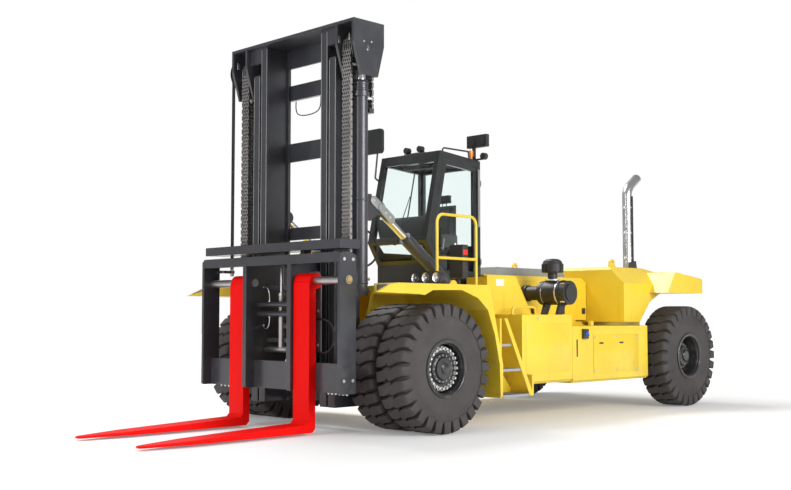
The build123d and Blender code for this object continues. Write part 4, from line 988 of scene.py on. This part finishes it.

# %% [markdown]
# ## Mast hardware
# Small steel makes a mast readable: the bright tracks where rollers have run, the gland that closes each
# lift cylinder, the sheave wheels, and on the truck's right the wheel that leads two oil hoses to the
# carriage. The hoses run under tension like the chains; the front lines ride on the carriage, the loop
# over the wheel on the inner mast, and the back lines stay where they are built.
# %% Mast hardware
SHEAVE_RING = (
    (0.0452, 1.010), (0.095, 1.010), (0.105, 1.040), (0.150, 1.040), (0.160, 1.015), (0.204, 1.015),
    (0.204, 1.019), (0.176, 1.021), (0.175, 1.105), (0.176, 1.189), (0.204, 1.191), (0.204, 1.195),
    (0.160, 1.195), (0.150, 1.170), (0.105, 1.170), (0.095, 1.200), (0.0452, 1.200),
)
stock = Stock()
for side in BOTH:
    ring = [(r, side * y) for r, y in SHEAVE_RING]
    stock.turned(ring, (SHEAVE[0], 0, SHEAVE[1]), ACROSS, 64, closed=True)
sheaves = stock.piece("sheave_wheels", "inner_mast", "chain_steel", STEEL, 0.002)
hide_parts("sheaves")
stock = Stock()
stock.bar((SHEAVE[0], 0.964, SHEAVE[1]), (SHEAVE[0], 1.3305, SHEAVE[1]), 0.0448, 32)
stock.mirrored().piece("sheave_pins", "inner_mast", "mast_black", BLACK, 0.002)

for name, body, edges, top in (
    ("inner_rail_tracks", "inner_mast", ((0.592, 0.606), (0.706, 0.720)), 5.36),
    ("outer_rail_tracks", "outer_mast", ((0.757, 0.771), (0.877, 0.891)), 4.97),
):
    stock = Stock()
    for edge in edges:
        stock.block((0.9002, 0.9025), edge, (0.62, top))
    stock.mirrored().piece(name, body, "mast_black", STEEL)

LIFT_X, LIFT_Y = 0.690, 1.150
stock = Stock()
gland = ((0.0712, 4.601), (0.106, 4.601), (0.106, 4.630), (0.098, 4.640), (0.096, 4.662), (0.0712, 4.662))
stock.turned(gland, (LIFT_X, LIFT_Y, 0), UP, 40, closed=True)
for z in (1.95, 3.05, 4.52):
    stock.band(0.1003, 0.108, z, 0.030, 0.006, (LIFT_X, LIFT_Y, 0), UP, 40)
stock.mirrored().piece("cylinder_glands", "outer_mast", "mast_black", BLACK, 0.001)
stock = Stock()
stock.bar((LIFT_X - 0.09, LIFT_Y + 0.03, 4.43), (LIFT_X - 0.15, LIFT_Y + 0.05, 4.43), 0.018, 12)
stock.bar((LIFT_X - 0.15, LIFT_Y + 0.05, 4.43), (LIFT_X - 0.16, LIFT_Y + 0.053, 4.43), 0.025, 6)
stock.bar((LIFT_X - 0.09, LIFT_Y, 2.02), (LIFT_X - 0.16, LIFT_Y, 2.02), 0.022, 12)
stock.mirrored().piece("cylinder_ports", "outer_mast", "chain_steel", BOLT, 0.001)

places = on_sides(((0.797, 5.143), (0.661, 5.154), (0.734, 5.040)), 1.3308)
studs("crosshead_bolts", places, "inner_mast", "mast_black", 0.009, 0.010)
stock = Stock()
for y in (1.000, 1.214):
    stock.block((0.925, 0.960), (y, y + 0.010), (5.150, 5.245))
    stock.block((0.418, 0.452), (y, y + 0.010), (5.150, 5.245))
stock.mirrored().piece("chain_keepers", "inner_mast", "chain_steel", BOLT, 0.002)

# Outside each tilt cylinder's clevis lies a long cheek with the keeper of its pin.
TILT_EYE = (0.240, 2.990)
RISE = math.atan2(1.025, 1.460)


def capsule(centre, rise, ahead, behind, radius, steps=8):
    """Outline of a long round-ended plate about a centre."""
    outline = []
    for end, reach in ((1, ahead), (-1, -behind)):
        middle = (centre[0] + reach * math.cos(rise), centre[1] + reach * math.sin(rise))
        for i in range(steps + 1):
            t = rise - end * math.pi / 2 + math.pi * i / steps
            outline.append((middle[0] + radius * math.cos(t), middle[1] + radius * math.sin(t)))
    return outline


stock = Stock()
stock.slab("y", capsule(TILT_EYE, RISE, 0.17, 0.24, 0.062), 1.0762, 1.090)
stock.turned(((0.062, 1.090), (0.058, 1.104), (0.022, 1.106)), (TILT_EYE[0], 0, TILT_EYE[1]), ACROSS, 32)
stock.mirrored().piece("tilt_eye_cheeks", "outer_mast", "cover_grey", COVER_GREY, 0.002)
spots = []
for reach in (0.17, -0.20, -0.10):
    spots.append((TILT_EYE[0] + reach * math.cos(RISE), TILT_EYE[1] + reach * math.sin(RISE)))
studs("tilt_cheek_bolts", on_sides(spots, 1.090), "outer_mast", "chain_steel", 0.012, 0.010)

HOSE_WHEEL = (
    (0.050, -1.336), (0.225, -1.336), (0.250, -1.341), (0.250, -1.345), (0.205, -1.350), (0.200, -1.383),
    (0.205, -1.416), (0.250, -1.421), (0.250, -1.425), (0.225, -1.430), (0.050, -1.430),
)
HOSE_X, HOSE_Z, HOSE_WRAP = 0.690, 5.120, 0.216
stock = Stock()
stock.turned(HOSE_WHEEL, (HOSE_X, 0, HOSE_Z), ACROSS, 56)
stock.turned(((0.042, -1.430), (0.040, -1.452), (0.015, -1.454)), (HOSE_X, 0, HOSE_Z), ACROSS, 24)
stock.piece("hose_wheel", "inner_mast", "mast_black", BLACK, 0.002)
LINES = (-1.366, -1.400)
front, back, over = Stock(), Stock(), Stock()
for y in LINES:
    front.bar((HOSE_X + HOSE_WRAP, y, 2.190), (HOSE_X + HOSE_WRAP, y, HOSE_Z), 0.014, 12)
    back.bar((HOSE_X - HOSE_WRAP, y, 4.280), (HOSE_X - HOSE_WRAP, y, HOSE_Z), 0.014, 12)
    arc = []
    for i in range(17):
        t = math.pi * i / 16
        arc.append((HOSE_X + HOSE_WRAP * math.cos(t), y, HOSE_Z + HOSE_WRAP * math.sin(t)))
    over.hose(arc, 0.014)
over.piece("hose_over_wheel", "inner_mast", "mast_black", HOSE_RUBBER)
strand = front.piece("front_oil_hoses", "carriage", "mast_black", HOSE_RUBBER)
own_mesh(strand)
strand = back.piece("back_oil_hoses", None, "mast_black", HOSE_RUBBER)
high = (AXLE_X + HOSE_X - HOSE_WRAP, LINES[0], HOSE_Z)
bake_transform(strand)
stock = Stock()
stock.block((0.440, 0.508), (-1.420, -0.892), (4.240, 4.285))
stock.piece("back_hose_bracket", "outer_mast", "mast_black", BLACK, 0.004)
stock = Stock()
stock.block((0.885, 1.085), (-1.450, -1.345), (2.150, 2.190))
for y in LINES:
    stock.bar((HOSE_X + HOSE_WRAP, y, 2.110), (HOSE_X + HOSE_WRAP, y, 2.225), 0.019, 6)
stock.piece("front_hose_fittings", "carriage", "chain_steel", BOLT, 0.001)

# %% [markdown]
# ## Free hoses and wires
# A hose that isn't clamped along its way is a cord with a real length. Its route is drawn as control points,
# the curve's own line is measured, and that measure is printed. The bends are wide,
# because an oil hose kinks when it is bent tighter than a few diameters.
# %% Free hoses


def line_length(data):
    """Length of a curve's own line."""
    bare = data.copy()
    bare.bevel_depth = 0
    probe = placed("probe", bare)
    mesh = evaluated(probe)
    ends = [(mesh.vertices[e.vertices[0]].co, mesh.vertices[e.vertices[1]].co) for e in mesh.edges]
    total = sum((b - a).length for a, b in ends)
    bpy.data.objects.remove(probe)
    bpy.data.meshes.remove(mesh)
    return total


def free_hose(name, body, points, diameter, finish):
    """Hose or wire that hangs between two fittings; its real length is measured and printed."""
    route = [(AXLE_X + x, y, z) for x, y, z in points]
    data = smooth_curve(name, route, diameter / 2, 3, 10)
    data.materials.append(finish)
    piece = placed(name, data)
    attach(piece, body)
    length = line_length(data)
    print(name, "is", round(length, 3), "m long")


def fitting(stock, point, facing, radius, length=0.05):
    """Crimped end of a hose: a sleeve and a hexagon nut that start at the point."""
    axis = Vector(facing).normalized()
    sleeve = ((radius * 0.8, 0), (radius, 0.004), (radius, length), (radius * 0.8, length))
    stock.turned(sleeve, point, axis, 16)
    nut = Vector(point) + axis * (length * 0.3)
    stock.turned(((radius * 1.35, 0), (radius * 1.35, length * 0.3)), nut, axis, 6)


TILT_HOSE = (
    (0.440, 0.850, 2.700), (0.340, 0.900, 2.710), (0.250, 1.000, 2.570), (0.250, 1.030, 2.340),
    (0.340, 0.930, 2.190), (0.440, 0.850, 2.190),
)
BAY_HOSE = (
    (1.085, 0.530, 1.420), (1.095, 0.700, 1.500), (1.095, 1.020, 1.480), (1.100, 1.130, 1.270),
    (1.095, 1.020, 1.060), (1.090, 0.720, 1.040), (1.085, 0.530, 1.120),
)
VALVE_HOSE = (
    (1.060, 0.428, 1.340), (1.100, 0.330, 1.345), (1.140, 0.220, 1.250), (1.150, 0.200, 1.080),
    (1.150, 0.200, 0.935),
)
UPPER_LOOP = (
    (1.050, -0.432, 1.930), (1.100, -0.380, 1.950), (1.130, -0.260, 1.930), (1.130, -0.200, 1.840),
    (1.130, -0.200, 1.735),
)
LOWER_LOOP = (
    (1.050, -0.432, 1.400), (1.100, -0.380, 1.360), (1.130, -0.260, 1.350), (1.130, -0.200, 1.420),
    (1.130, -0.200, 1.516),
)
WIRE_LOOP = (
    (0.420, -0.520, 4.650), (0.420, -0.540, 4.480), (0.420, -0.380, 4.420), (0.420, -0.120, 4.420),
    (0.420, 0.040, 4.480), (0.420, 0.030, 4.650),
)
for label, side in SIDES:
    route = [(x, side * y, z) for x, y, z in TILT_HOSE]
    free_hose("tilt_hose_" + label, "outer_mast", route, 0.030, HOSE_RUBBER)
free_hose("carriage_bay_hose", "carriage", BAY_HOSE, 0.026, HOSE_RUBBER)
free_hose("valve_hose", "carriage", VALVE_HOSE, 0.022, HOSE_RUBBER)
free_hose("positioner_line_upper", "carriage", UPPER_LOOP, 0.014, BOLT)
free_hose("positioner_line_lower", "carriage", LOWER_LOOP, 0.014, BOLT)
free_hose("mast_lamp_wire", "outer_mast", WIRE_LOOP, 0.016, HOSE_RUBBER)
stock = Stock()
for x, y, z in (TILT_HOSE[0], TILT_HOSE[-1]):
    fitting(stock, (x - 0.03, y, z), (1, 0, 0), 0.026, 0.050)
stock.mirrored().piece("tilt_hose_fittings", "outer_mast", "chain_steel", BOLT)
stock = Stock()
for route, radius in ((BAY_HOSE, 0.018), (VALVE_HOSE, 0.016), (UPPER_LOOP, 0.011), (LOWER_LOOP, 0.011)):
    for end, inner in ((route[0], route[1]), (route[-1], route[-2])):
        away = Vector(end) - Vector(inner)
        fitting(stock, Vector(end) - away.normalized() * 0.02, away, radius, 0.05)
stock.piece("carriage_hose_fittings", "carriage", "chain_steel", BOLT)

# %% [markdown]
# ## Carriage
# Between the middle plates stand the valve block and a slim cylinder. A cover plate closes each bay behind
# its fork. Heads of bolts run along the underside of the lower beam, and a brass cap ends the shaft.
# %% Carriage
stock = Stock()
stock.slab("x", [(0.55, 1.05), (0.80, 1.05), (0.80, 2.05), (0.74, 2.12), (0.55, 2.12)], 1.050, 1.066)
stock.mirrored().piece("bay_covers", "carriage", "mast_black", PANEL_GREY, 0.003)
places = []
for side in BOTH:
    for y, z in ((0.66, 2.02), (0.60, 1.94), (0.61, 1.15), (0.74, 1.15), (0.74, 1.60)):
        places.append(((1.066, side * y, z), (1, 0, 0)))
studs("bay_cover_bolts", places, "carriage", "mast_black", 0.018, 0.014)
stock = Stock()
post = ((0.046, 1.080), (0.046, 1.800), (0.051, 1.804), (0.051, 1.846), (0.028, 1.850), (0.028, 2.210))
stock.turned(post, (1.000, -0.100, 0), UP, 32)
stock.turned(((0.040, 0), (0.040, 0.45)), (1.010, -0.42, 1.075), ACROSS, 28)
stock.turned(((0.046, 0.44), (0.046, 0.48)), (1.010, -0.42, 1.075), ACROSS, 28)
stock.piece("carriage_cylinder", "carriage", "chain_steel", STEEL, 0.001)
stock = Stock()
stock.block((0.960, 1.045), (0.100, 0.330), (1.300, 1.480))
stock.block((0.970, 1.030), (-0.060, 0.100), (1.360, 1.430))
for y in (0.140, 0.200, 0.260):
    stock.bar((1.000, y, 1.480), (1.000, y, 1.530), 0.018, 6)
stock.block((0.960, 1.000), (-0.440, 0.440), (1.890, 1.960))
stock.block((0.960, 0.995), (-0.440, 0.440), (1.170, 1.230))
stock.piece("carriage_valve", "carriage", "mast_black", BLACK, 0.006)
places = []
for count, low, high in ((6, 1.07, 1.42), (6, -1.25, -0.82)):
    for i in range(count):
        places.append(((1.160, low + (high - low) * i / (count - 1), 0.5535), (0, 0, -1)))
studs("lower_beam_bolts", places, "carriage", "mast_black", 0.017, 0.022)
places = on_sides(((1.13, 2.25), (1.28, 2.25), (1.13, 0.72), (1.28, 0.72)), 1.493)
studs("end_plate_bolts", places, "carriage", "mast_black", 0.015, 0.014)
BRASS = metal("brass_cap_metal", (0.55, 0.40, 0.16), 0.32, 0.15)
stock = Stock()
cap = ((0.042, 1.5012), (0.042, 1.512), (0.034, 1.518), (0.010, 1.518))
stock.turned(cap, (1.200, 0, 1.990), ACROSS, 32)
stock.mirrored().piece("shaft_caps", "carriage", "chrome_rod", BRASS)

# %% [markdown]
# ## Work lamps
# A lamp is a bright bowl behind a clear lens. The bowls sit in the recesses of the housing, and each lens
# has a thin rim.
# %% Lamps
BOWL = (
    (0.0638, 0.0218), (0.058, 0.0185), (0.040, 0.0148), (0.014, 0.0138), (0.0005, 0.0138), (0.0005, 0.0134),
    (0.0638, 0.0134),
)
LAMP_GLASS = clear_glass("lamp_lens_glass", (0.96, 0.97, 0.98))
bowls, lenses = Stock(), Stock()
for y in (1.600, 1.790, 1.980):
    centre = (0.0952, y, 2.035)
    bowls.turned(BOWL, centre, AHEAD, 36, True)
    bowls.turned(((0.010, 0.0136), (0.010, 0.0185), (0.006, 0.0210), (0.0005, 0.0215)), centre, AHEAD, 16)
    rim = ((0.0656, 0.0134), (0.0656, 0.0247), (0.0640, 0.0247), (0.0640, 0.0134))
    bowls.turned(rim, centre, AHEAD, 36, True)
    lenses.turned(((0.0637, 0.0228), (0.0637, 0.0240), (0.0005, 0.0244)), centre, AHEAD, 36)
bowls.piece("work_lamp_bowls", "chassis", "filter_black", LENS)
lenses.piece("work_lamp_lenses", "chassis", "glass", LAMP_GLASS)

# %% [markdown]
# ## Entry steps
# The plain stand-in becomes two folded stringers and three grated treads. One bar of grating is modelled and
# the row tree repeats it; its teeth are what the boot feels.
# %% Entry steps
TREADS = ((-1.200, -1.440, 1.150), (-1.210, -1.650, 0.800), (-1.230, -1.900, 0.440))
stock = Stock()
SIDE_PLATE = [
    (-1.197, 1.498), (-1.197, 0.402), (-1.935, 0.402), (-1.935, 0.452), (-1.670, 0.760), (-1.670, 0.820),
    (-1.460, 1.110), (-1.460, 1.170), (-1.330, 1.498),
]
stock.slab("y", SIDE_PLATE, 1.550, 1.5615)
stock.block((-1.938, -1.902), (1.502, 1.958), (0.402, 0.698))
stock.block((-1.233, -1.197), (1.562, 1.958), (0.402, 1.498))
stock.block((-1.250, -1.233), (1.5615, 1.600), (0.402, 1.498))
stock.slab("y", [(-1.362, 1.498), (-1.290, 1.498), (-1.850, 0.402), (-1.938, 0.402)], 1.9485, 1.9600)
stock.piece("step_stringers", "chassis", "body_yellow", YELLOW, 0.004)
stock = Stock()
for front, rear, top in TREADS:
    low = top - 0.040
    stock.block((front - 0.036, front - 0.046), (1.562, 1.940), (low, top - 0.004))
    stock.block((rear + 0.010, rear), (1.562, 1.958), (low, top - 0.004))
    stock.block((rear + 0.010, front - 0.036), (1.562, 1.570), (low, top - 0.004))
    stock.block((rear, front - 0.036), (1.9400, 1.9480), (low, top - 0.004))
steps = stock.piece("step_frames", "chassis", "step_grey", STEP_GREY, 0.001)
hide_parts("entry_steps")


def grating_bar(width, top, depth):
    """One serrated bar of a tread, across the truck, with its teeth along the top."""
    stock = Stock()
    count = 12
    pitch = width / count
    outline = [(1.570, top - depth)]
    for i in range(count):
        y = 1.570 + i * pitch
        outline += [(y, top - 0.006), (y + pitch * 0.3, top), (y + pitch * 0.7, top)]
    outline += [(1.570 + width, top - 0.006), (1.570 + width, top - depth)]
    stock.slab("x", outline, -0.002, 0.002)
    return stock.data("grating_bar")


for number, (front, rear, top) in enumerate(TREADS):
    count = int((front - rear - 0.07) / 0.026)
    grown(
        ROW, grating_bar(0.368, top - 0.001, 0.026), f"step_grating_{number + 1}", "chassis", "step_grey",
        STEP_GREY, (rear + 0.024, 0, 0), Count=count, Step=(0.026, 0, 0),
    )

# %% [markdown]
# ## Panels, catches and grips
# Sheet metal is read by its seams and fixings. The long side box has a raised door with six bolts, two finger
# slots, the battery isolator and a vent slot; the slots are flat black plates, painted shade in place of the
# openings. A field of grip lugs lies on each fender, and a folded lip stiffens the edge of the sloped side
# cover.
# %% Panels
BOX_FACE = 1.750
stock = Stock()
stock.block((-4.960, -3.700), (BOX_FACE, BOX_FACE + 0.008), (0.640, 1.240))
stock.block((-3.080, -2.020), (BOX_FACE, BOX_FACE + 0.004), (0.700, 1.420))
stock.piece("box_doors", "chassis", "body_yellow", YELLOW, 0.003)
places = []
for x in (-3.740, -4.330, -4.920):
    for z in (0.680, 1.200):
        places.append(((x, BOX_FACE + 0.008, z), (0, 1, 0)))
places.append(((-2.316, BOX_FACE + 0.004, 1.495), (0, 1, 0)))
studs("box_door_bolts", places, "chassis", "body_yellow", 0.014, 0.010)
stock = Stock()
# The finger slots and the vent slot are flat black plates: painted shade where the recessed openings would be
# dark. The isolator box is a real black part.
for x in (-3.909, -4.465):
    stock.slab("y", capsule((x, 1.105), 0, 0.045, 0.045, 0.014, 6), BOX_FACE + 0.006, BOX_FACE + 0.0095)
stock.slab("y", capsule((-3.276, 1.040), math.pi / 2, 0.120, 0.120, 0.016, 6), BOX_FACE, BOX_FACE + 0.004)
stock.block((-3.520, -3.400), (BOX_FACE, BOX_FACE + 0.050), (1.180, 1.330))
stock.piece("painted_slot_shade_and_isolator_box", "chassis", "chassis_black", CHASSIS, 0.003)
stock = Stock()
key = ((0.034, 0), (0.034, 0.014), (0.026, 0.018), (0.0001, 0.018))
stock.turned(key, (-3.460, BOX_FACE + 0.050, 1.262), ACROSS, 24)
stock.slab("y", capsule((-3.460, 1.262), 0.9, 0.034, 0.034, 0.009, 6), BOX_FACE + 0.066, BOX_FACE + 0.084)
stock.piece("isolator_key", "chassis", "chassis_black", SWITCH_BLUE, 0.001)
stock = Stock()
stock.block((-3.790, -3.720), (1.640, 1.700), (1.3705, 1.450))
stock.block((-3.775, -3.735), (1.700, 1.745), (1.3705, 1.380))
stock.piece("box_bracket", "chassis", "body_yellow", YELLOW, 0.004)

stock = Stock()
rail = (
    (-1.700, 2.1052), (-1.700, 2.130), (-2.346, 2.1255), (-2.376, 2.1100), (-2.748, 1.545),
    (-2.724, 1.552), (-2.352, 2.1005),
)
stock.slab("y", rail, 1.262, 1.300)
stock.piece("side_cover_lip", "chassis", "body_yellow", YELLOW, 0.003)
studs(
    "side_cover_bolts", [((-2.440, 1.2902, 1.651), (0, 1, 0)), ((-2.330, 1.3002, 1.651), (0, 1, 0))],
    "chassis", "body_yellow", 0.013, 0.010,
)
stock = Stock()
grab = ((-1.955, 1.560, 1.5502), (-1.955, 1.560, 1.640), (-2.010, 1.560, 1.665), (-2.440, 1.560, 1.665),
        (-2.500, 1.560, 1.640), (-2.500, 1.560, 1.5502))
stock.hose(grab, 0.018, 8)
for x in (-1.955, -2.500):
    stock.turned(((0.032, 0), (0.032, 0.010)), (x, 1.560, 1.5502), UP, 20)
stock.piece("tank_grab_rail", "chassis", "body_yellow", YELLOW)

stock = Stock()
for x in (-2.600, -3.400, -4.200, -4.780):
    stock.block((x - 0.045, x + 0.045), (0.8002, 0.812), (1.560, 1.660))
    stock.block((x - 0.020, x + 0.020), (0.812, 0.826), (1.575, 1.640))
stock.piece("hood_catches", "hood", "chassis_black", CHASSIS, 0.003)
louvre = Stock()
louvre.slab("x", [(0.8002, 0.000), (0.8160, 0.004), (0.8165, 0.008), (0.8002, 0.034)], -0.130, 0.130)
louvre_data = louvre.data("louvre")
for number, x in enumerate((-3.000, -3.780, -4.480)):
    grown(
        ROW, louvre_data.copy(), f"hood_louvres_{number + 1}", "hood", "body_yellow", YELLOW, (x, 0, 1.760),
        Count=5, Step=(0, 0, 0.052),
    )
grip = Stock()
grip.slab("z", capsule((0, 0), math.pi / 4, 0.012, 0.012, 0.004, 3), 0, 0.003)
grip_data = grip.data("grip_lug")
for label, side in SIDES:
    rows = (
        grown(
            ROW, grip_data.copy(), "grip_row", "chassis", "body_yellow", YELLOW,
            (0.150 + 0.020 * (number % 2), side * (1.600 + 0.062 * number), 1.9502),
            smooth=60, Count=17, Step=(0.040, 0, 0),
        )
        for number in range(7)
    )
    data = bpy.data.meshes.new("fender_grip_" + label)
    gather(data, rows)
    data.materials.append(YELLOW)
    piece = placed("fender_grip_" + label, data)
    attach(piece, "chassis")

slope = Stock()
rings = []
TIP = ((1.010, 1.800), (1.190, 1.985), (1.190, 2.000), (1.010, 2.000))
for lift in (0.0005, 0.0030):
    rings.append([(x, y, 1.930 - 0.428 * (x - 1.000) + lift) for x, y in TIP])
slope.loft(rings)
slope.mirrored().piece("fender_tip_grip", "chassis", "chassis_black", CHASSIS)

# %% [markdown]
# ## Air cleaner and blank plates
# The air cleaner has bands, toggles and a bright neck. The coloured plates on the
# photographed truck carry words, so here they are blank plates of the same size and colour.
# %% Air cleaner
DRUM = (-3.180, 1.885)
stock = Stock()
for y in (1.245, 1.520):
    stock.band(0.1853, 0.1885, y, 0.028, 0.003, (DRUM[0], 0, DRUM[1]), ACROSS, 64)
stock.band(0.1102, 0.1160, 0, 0.028, 0.004, (DRUM[0], 1.370, 2.072), UP, 48)
for i in range(4):
    t = math.pi / 4 + math.pi / 2 * i
    x, z = DRUM[0] + 0.196 * math.cos(t), DRUM[1] + 0.196 * math.sin(t)
    stock.block((x - 0.012, x + 0.012), (1.620, 1.690), (z - 0.012, z + 0.012))
stock.piece("air_cleaner_clamps", "chassis", "chassis_black", BOLT, 0.002)
PLATES = (
    ("red_blank_plate", SIGN_RED, (-0.905, -0.815), (1.6252, 1.6275), (2.380, 2.450)),
    ("pale_blank_plate", SIGN_WHITE, (-2.080, -1.900), (1.3002, 1.3030), (1.975, 2.075)),
)
for name, finish, x, y, z in PLATES:
    stock = Stock()
    stock.block(x, y, z)
    stock.piece(name, "chassis", "chassis_black", finish, 0.0005)

# %% [markdown]
# ## Cab
# The seat is real upholstery: each pad starts as a slightly small closed shape, swells as a sealed cloth
# bag, and then gets its sewn channels.
# %% Seat


def cushion(name, stock, voxel, cap, channels=()):
    """Swell a closed shape into a pad. No point moves further than the cap."""
    obj = stock.placed_data(name + "_cut")
    skin = obj.modifiers.new("skin", "REMESH")
    skin.mode = "VOXEL"
    skin.voxel_size = voxel
    base = evaluated(obj)
    obj.modifiers.clear()
    obj.data = base
    swell = obj.modifiers.new("swell", "CLOTH")
    swell.settings.use_pressure = True
    swell.settings.uniform_pressure_force = 4
    swell.settings.effector_weights.gravity = 0
    for frame in range(1, 21):
        bpy.context.scene.frame_set(frame)
    graph = bpy.context.evaluated_depsgraph_get()
    swollen = [vert.co.copy() for vert in obj.evaluated_get(graph).data.vertices]
    obj.modifiers.clear()
    bpy.context.scene.frame_set(1)
    for vert, place in zip(base.vertices, swollen):
        move = place - vert.co
        if move.length > cap:
            move.length = cap
        vert.co += move
    normals = [vert.normal.copy() for vert in base.vertices]
    for vert, normal in zip(base.vertices, normals):
        near = min([abs(vert.co.y - y) for y in channels] or [1.0])
        vert.co -= normal * 0.007 * math.exp(-((near / 0.009) ** 2))
    finer = obj.modifiers.new("finer", "SUBSURF")
    finer.levels = 1
    finer.render_levels = 1
    piece = settled(obj, name, SEAT_CLOTH, "chassis", 80)
    print(name, len(piece.data.polygons), "faces")
    return piece


stock = Stock()
stock.slab("z", [(-1.936, -0.082), (-1.500, -0.070), (-1.496, 0.370), (-1.936, 0.382)], 2.514, 2.602)
seat_pad = cushion("seat_cushion", stock, 0.007, 0.014, (0.045, 0.255))
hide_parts("seat")
stock = Stock()
back = ((-1.952, 2.630), (-1.862, 2.650), (-1.972, 3.232), (-2.054, 3.232), (-2.048, 2.600))
stock.slab("y", back, -0.084, 0.384)
cushion("seat_back", stock, 0.008, 0.014, (0.030, 0.270))
stock = Stock()
stock.block((-2.068, -1.997), (0.034, 0.266), (3.284, 3.406))
cushion("headrest", stock, 0.006, 0.010)
stock = Stock()
for y in (0.110, 0.190):
    stock.bar((-2.030, y, 3.215), (-2.032, y, 3.300), 0.007, 10)
stock.block((-1.950, -1.500), (-0.090, 0.390), (2.502, 2.512))
stock.slab("y", [(-2.066, 2.505), (-2.056, 2.505), (-2.062, 3.245), (-2.069, 3.245)], -0.060, 0.360)
stock.piece("seat_shell", "chassis", "cab_plastic", CAB_PLASTIC, 0.002)

# %% [markdown]
# The cab's front wall slopes, so the wiper's height decides how far forward it lies, and a small function
# works that out. Dash, overhead console, levers, door pull and switch box are hard parts around the seat.
# %% Cab details


def front_at(z):
    """Where the cab's sloping front wall is at a height."""
    return -0.970 - (z - 2.640) * 0.300 / 1.340


stock = Stock()
dash = [(-1.150, 2.640), (-1.070, 2.930), (-1.110, 3.010), (-1.280, 2.930), (-1.300, 2.880), (-1.260, 2.640)]
stock.slab("y", dash, -0.380, 0.640)
stock.slab("y", [(-1.420, 3.760), (-1.400, 3.830), (-1.640, 3.850), (-1.640, 3.790)], -0.140, 0.500)
stock.block((-1.880, -1.520), (0.455, 0.560), (2.560, 2.760))
stock.piece("dash_and_consoles", "chassis", "cab_plastic", CAB_PLASTIC, 0.014)
stock = Stock()
for y, z in ((0.470, 2.765), (0.530, 2.765)):
    stock.bar((-1.560, y, z), (-1.550, y, z + 0.080), 0.008, 10)
    stock.turned(((0.008, 0), (0.018, 0.012), (0.018, 0.035), (0.006, 0.045)), (-1.550, y, z + 0.075), UP, 16)
stock.turned(((0.062, 0), (0.062, 0.02), (0.03, 0.032)), (-1.425, 0.150, 2.845), (-0.33, 0, 0.94), 28)
stock.piece("control_levers", "chassis", "cab_plastic", FILTER_BLACK)

stock = Stock()
pivot = (front_at(2.600) + 0.022, 0.150, 2.600)
tip = (front_at(3.300) + 0.040, 0.330, 3.300)
stock.bar((pivot[0] - 0.020, *pivot[1:]), (pivot[0] + 0.020, *pivot[1:]), 0.020, 16)
stock.bar((pivot[0] + 0.008, *pivot[1:]), tip, 0.008, 8, 0.006)
start, end = ((front_at(z) + 0.020, 0.330, z) for z in (2.930, 3.660))
stock.bar(start, end, 0.009, 6)
stock.bar((start[0] - 0.012, *start[1:]), (end[0] - 0.012, *end[1:]), 0.004, 4)
stock.bar(tip, (front_at(3.300) + 0.018, 0.330, 3.300), 0.008, 8)
stock.piece("front_wiper", "chassis", "cab_dark", CAB_PLASTIC)

DOOR_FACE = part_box("door_frame")[1].y
print("door face", round(DOOR_FACE, 4))
stock = Stock()
for x, z in ((-1.270, 2.640), (-1.235, 2.520)):
    stock.block((x - 0.014, x + 0.014), (DOOR_FACE, DOOR_FACE + 0.030), (z - 0.010, z + 0.010))
stock.bar((-1.270, DOOR_FACE + 0.030, 2.665), (-1.235, DOOR_FACE + 0.030, 2.495), 0.011, 14)
stock.block((-2.105, -2.060), (DOOR_FACE + 0.0005, DOOR_FACE + 0.012), (2.880, 3.760))
stock.piece("door_pull", "door", "cab_dark", COVER_GREY, 0.003)

stock = Stock()
for x in (-0.900, -0.820):
    stock.bar((x, 1.470, 2.5202), (x, 1.470, 2.545), 0.014, 12)
stock.piece("switch_box_glands", "chassis", "chassis_black", BOLT)
stock = Stock()
stock.block((-0.912, -0.808), (1.6202, 1.6250), (2.080, 2.500))
stock.piece("switch_box_door", "chassis", "filter_black", FILTER_BLACK, 0.002)

# %% [markdown]
# ## Exhaust
# Three bright clamps hold the stack to its shield.
# %% Exhaust clamps
stack_low, stack_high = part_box("exhaust_stack")
STACK_X = stack_high.x - AXLE_X - 0.085
STACK_Y = (stack_low.y + stack_high.y) / 2
stock = Stock()
for z in (2.560, 3.020, 3.480):
    stock.band(0.0853, 0.0905, z, 0.035, 0.003, (STACK_X, STACK_Y, 0), UP, 40)
    stock.block((STACK_X + 0.086, STACK_X + 0.125), (STACK_Y - 0.012, STACK_Y + 0.012), (z, z + 0.035))
stock.piece("stack_clamps", "chassis", "exhaust_steel", BOLT, 0.001)

# %% Update the scene
bpy.context.view_layer.update()
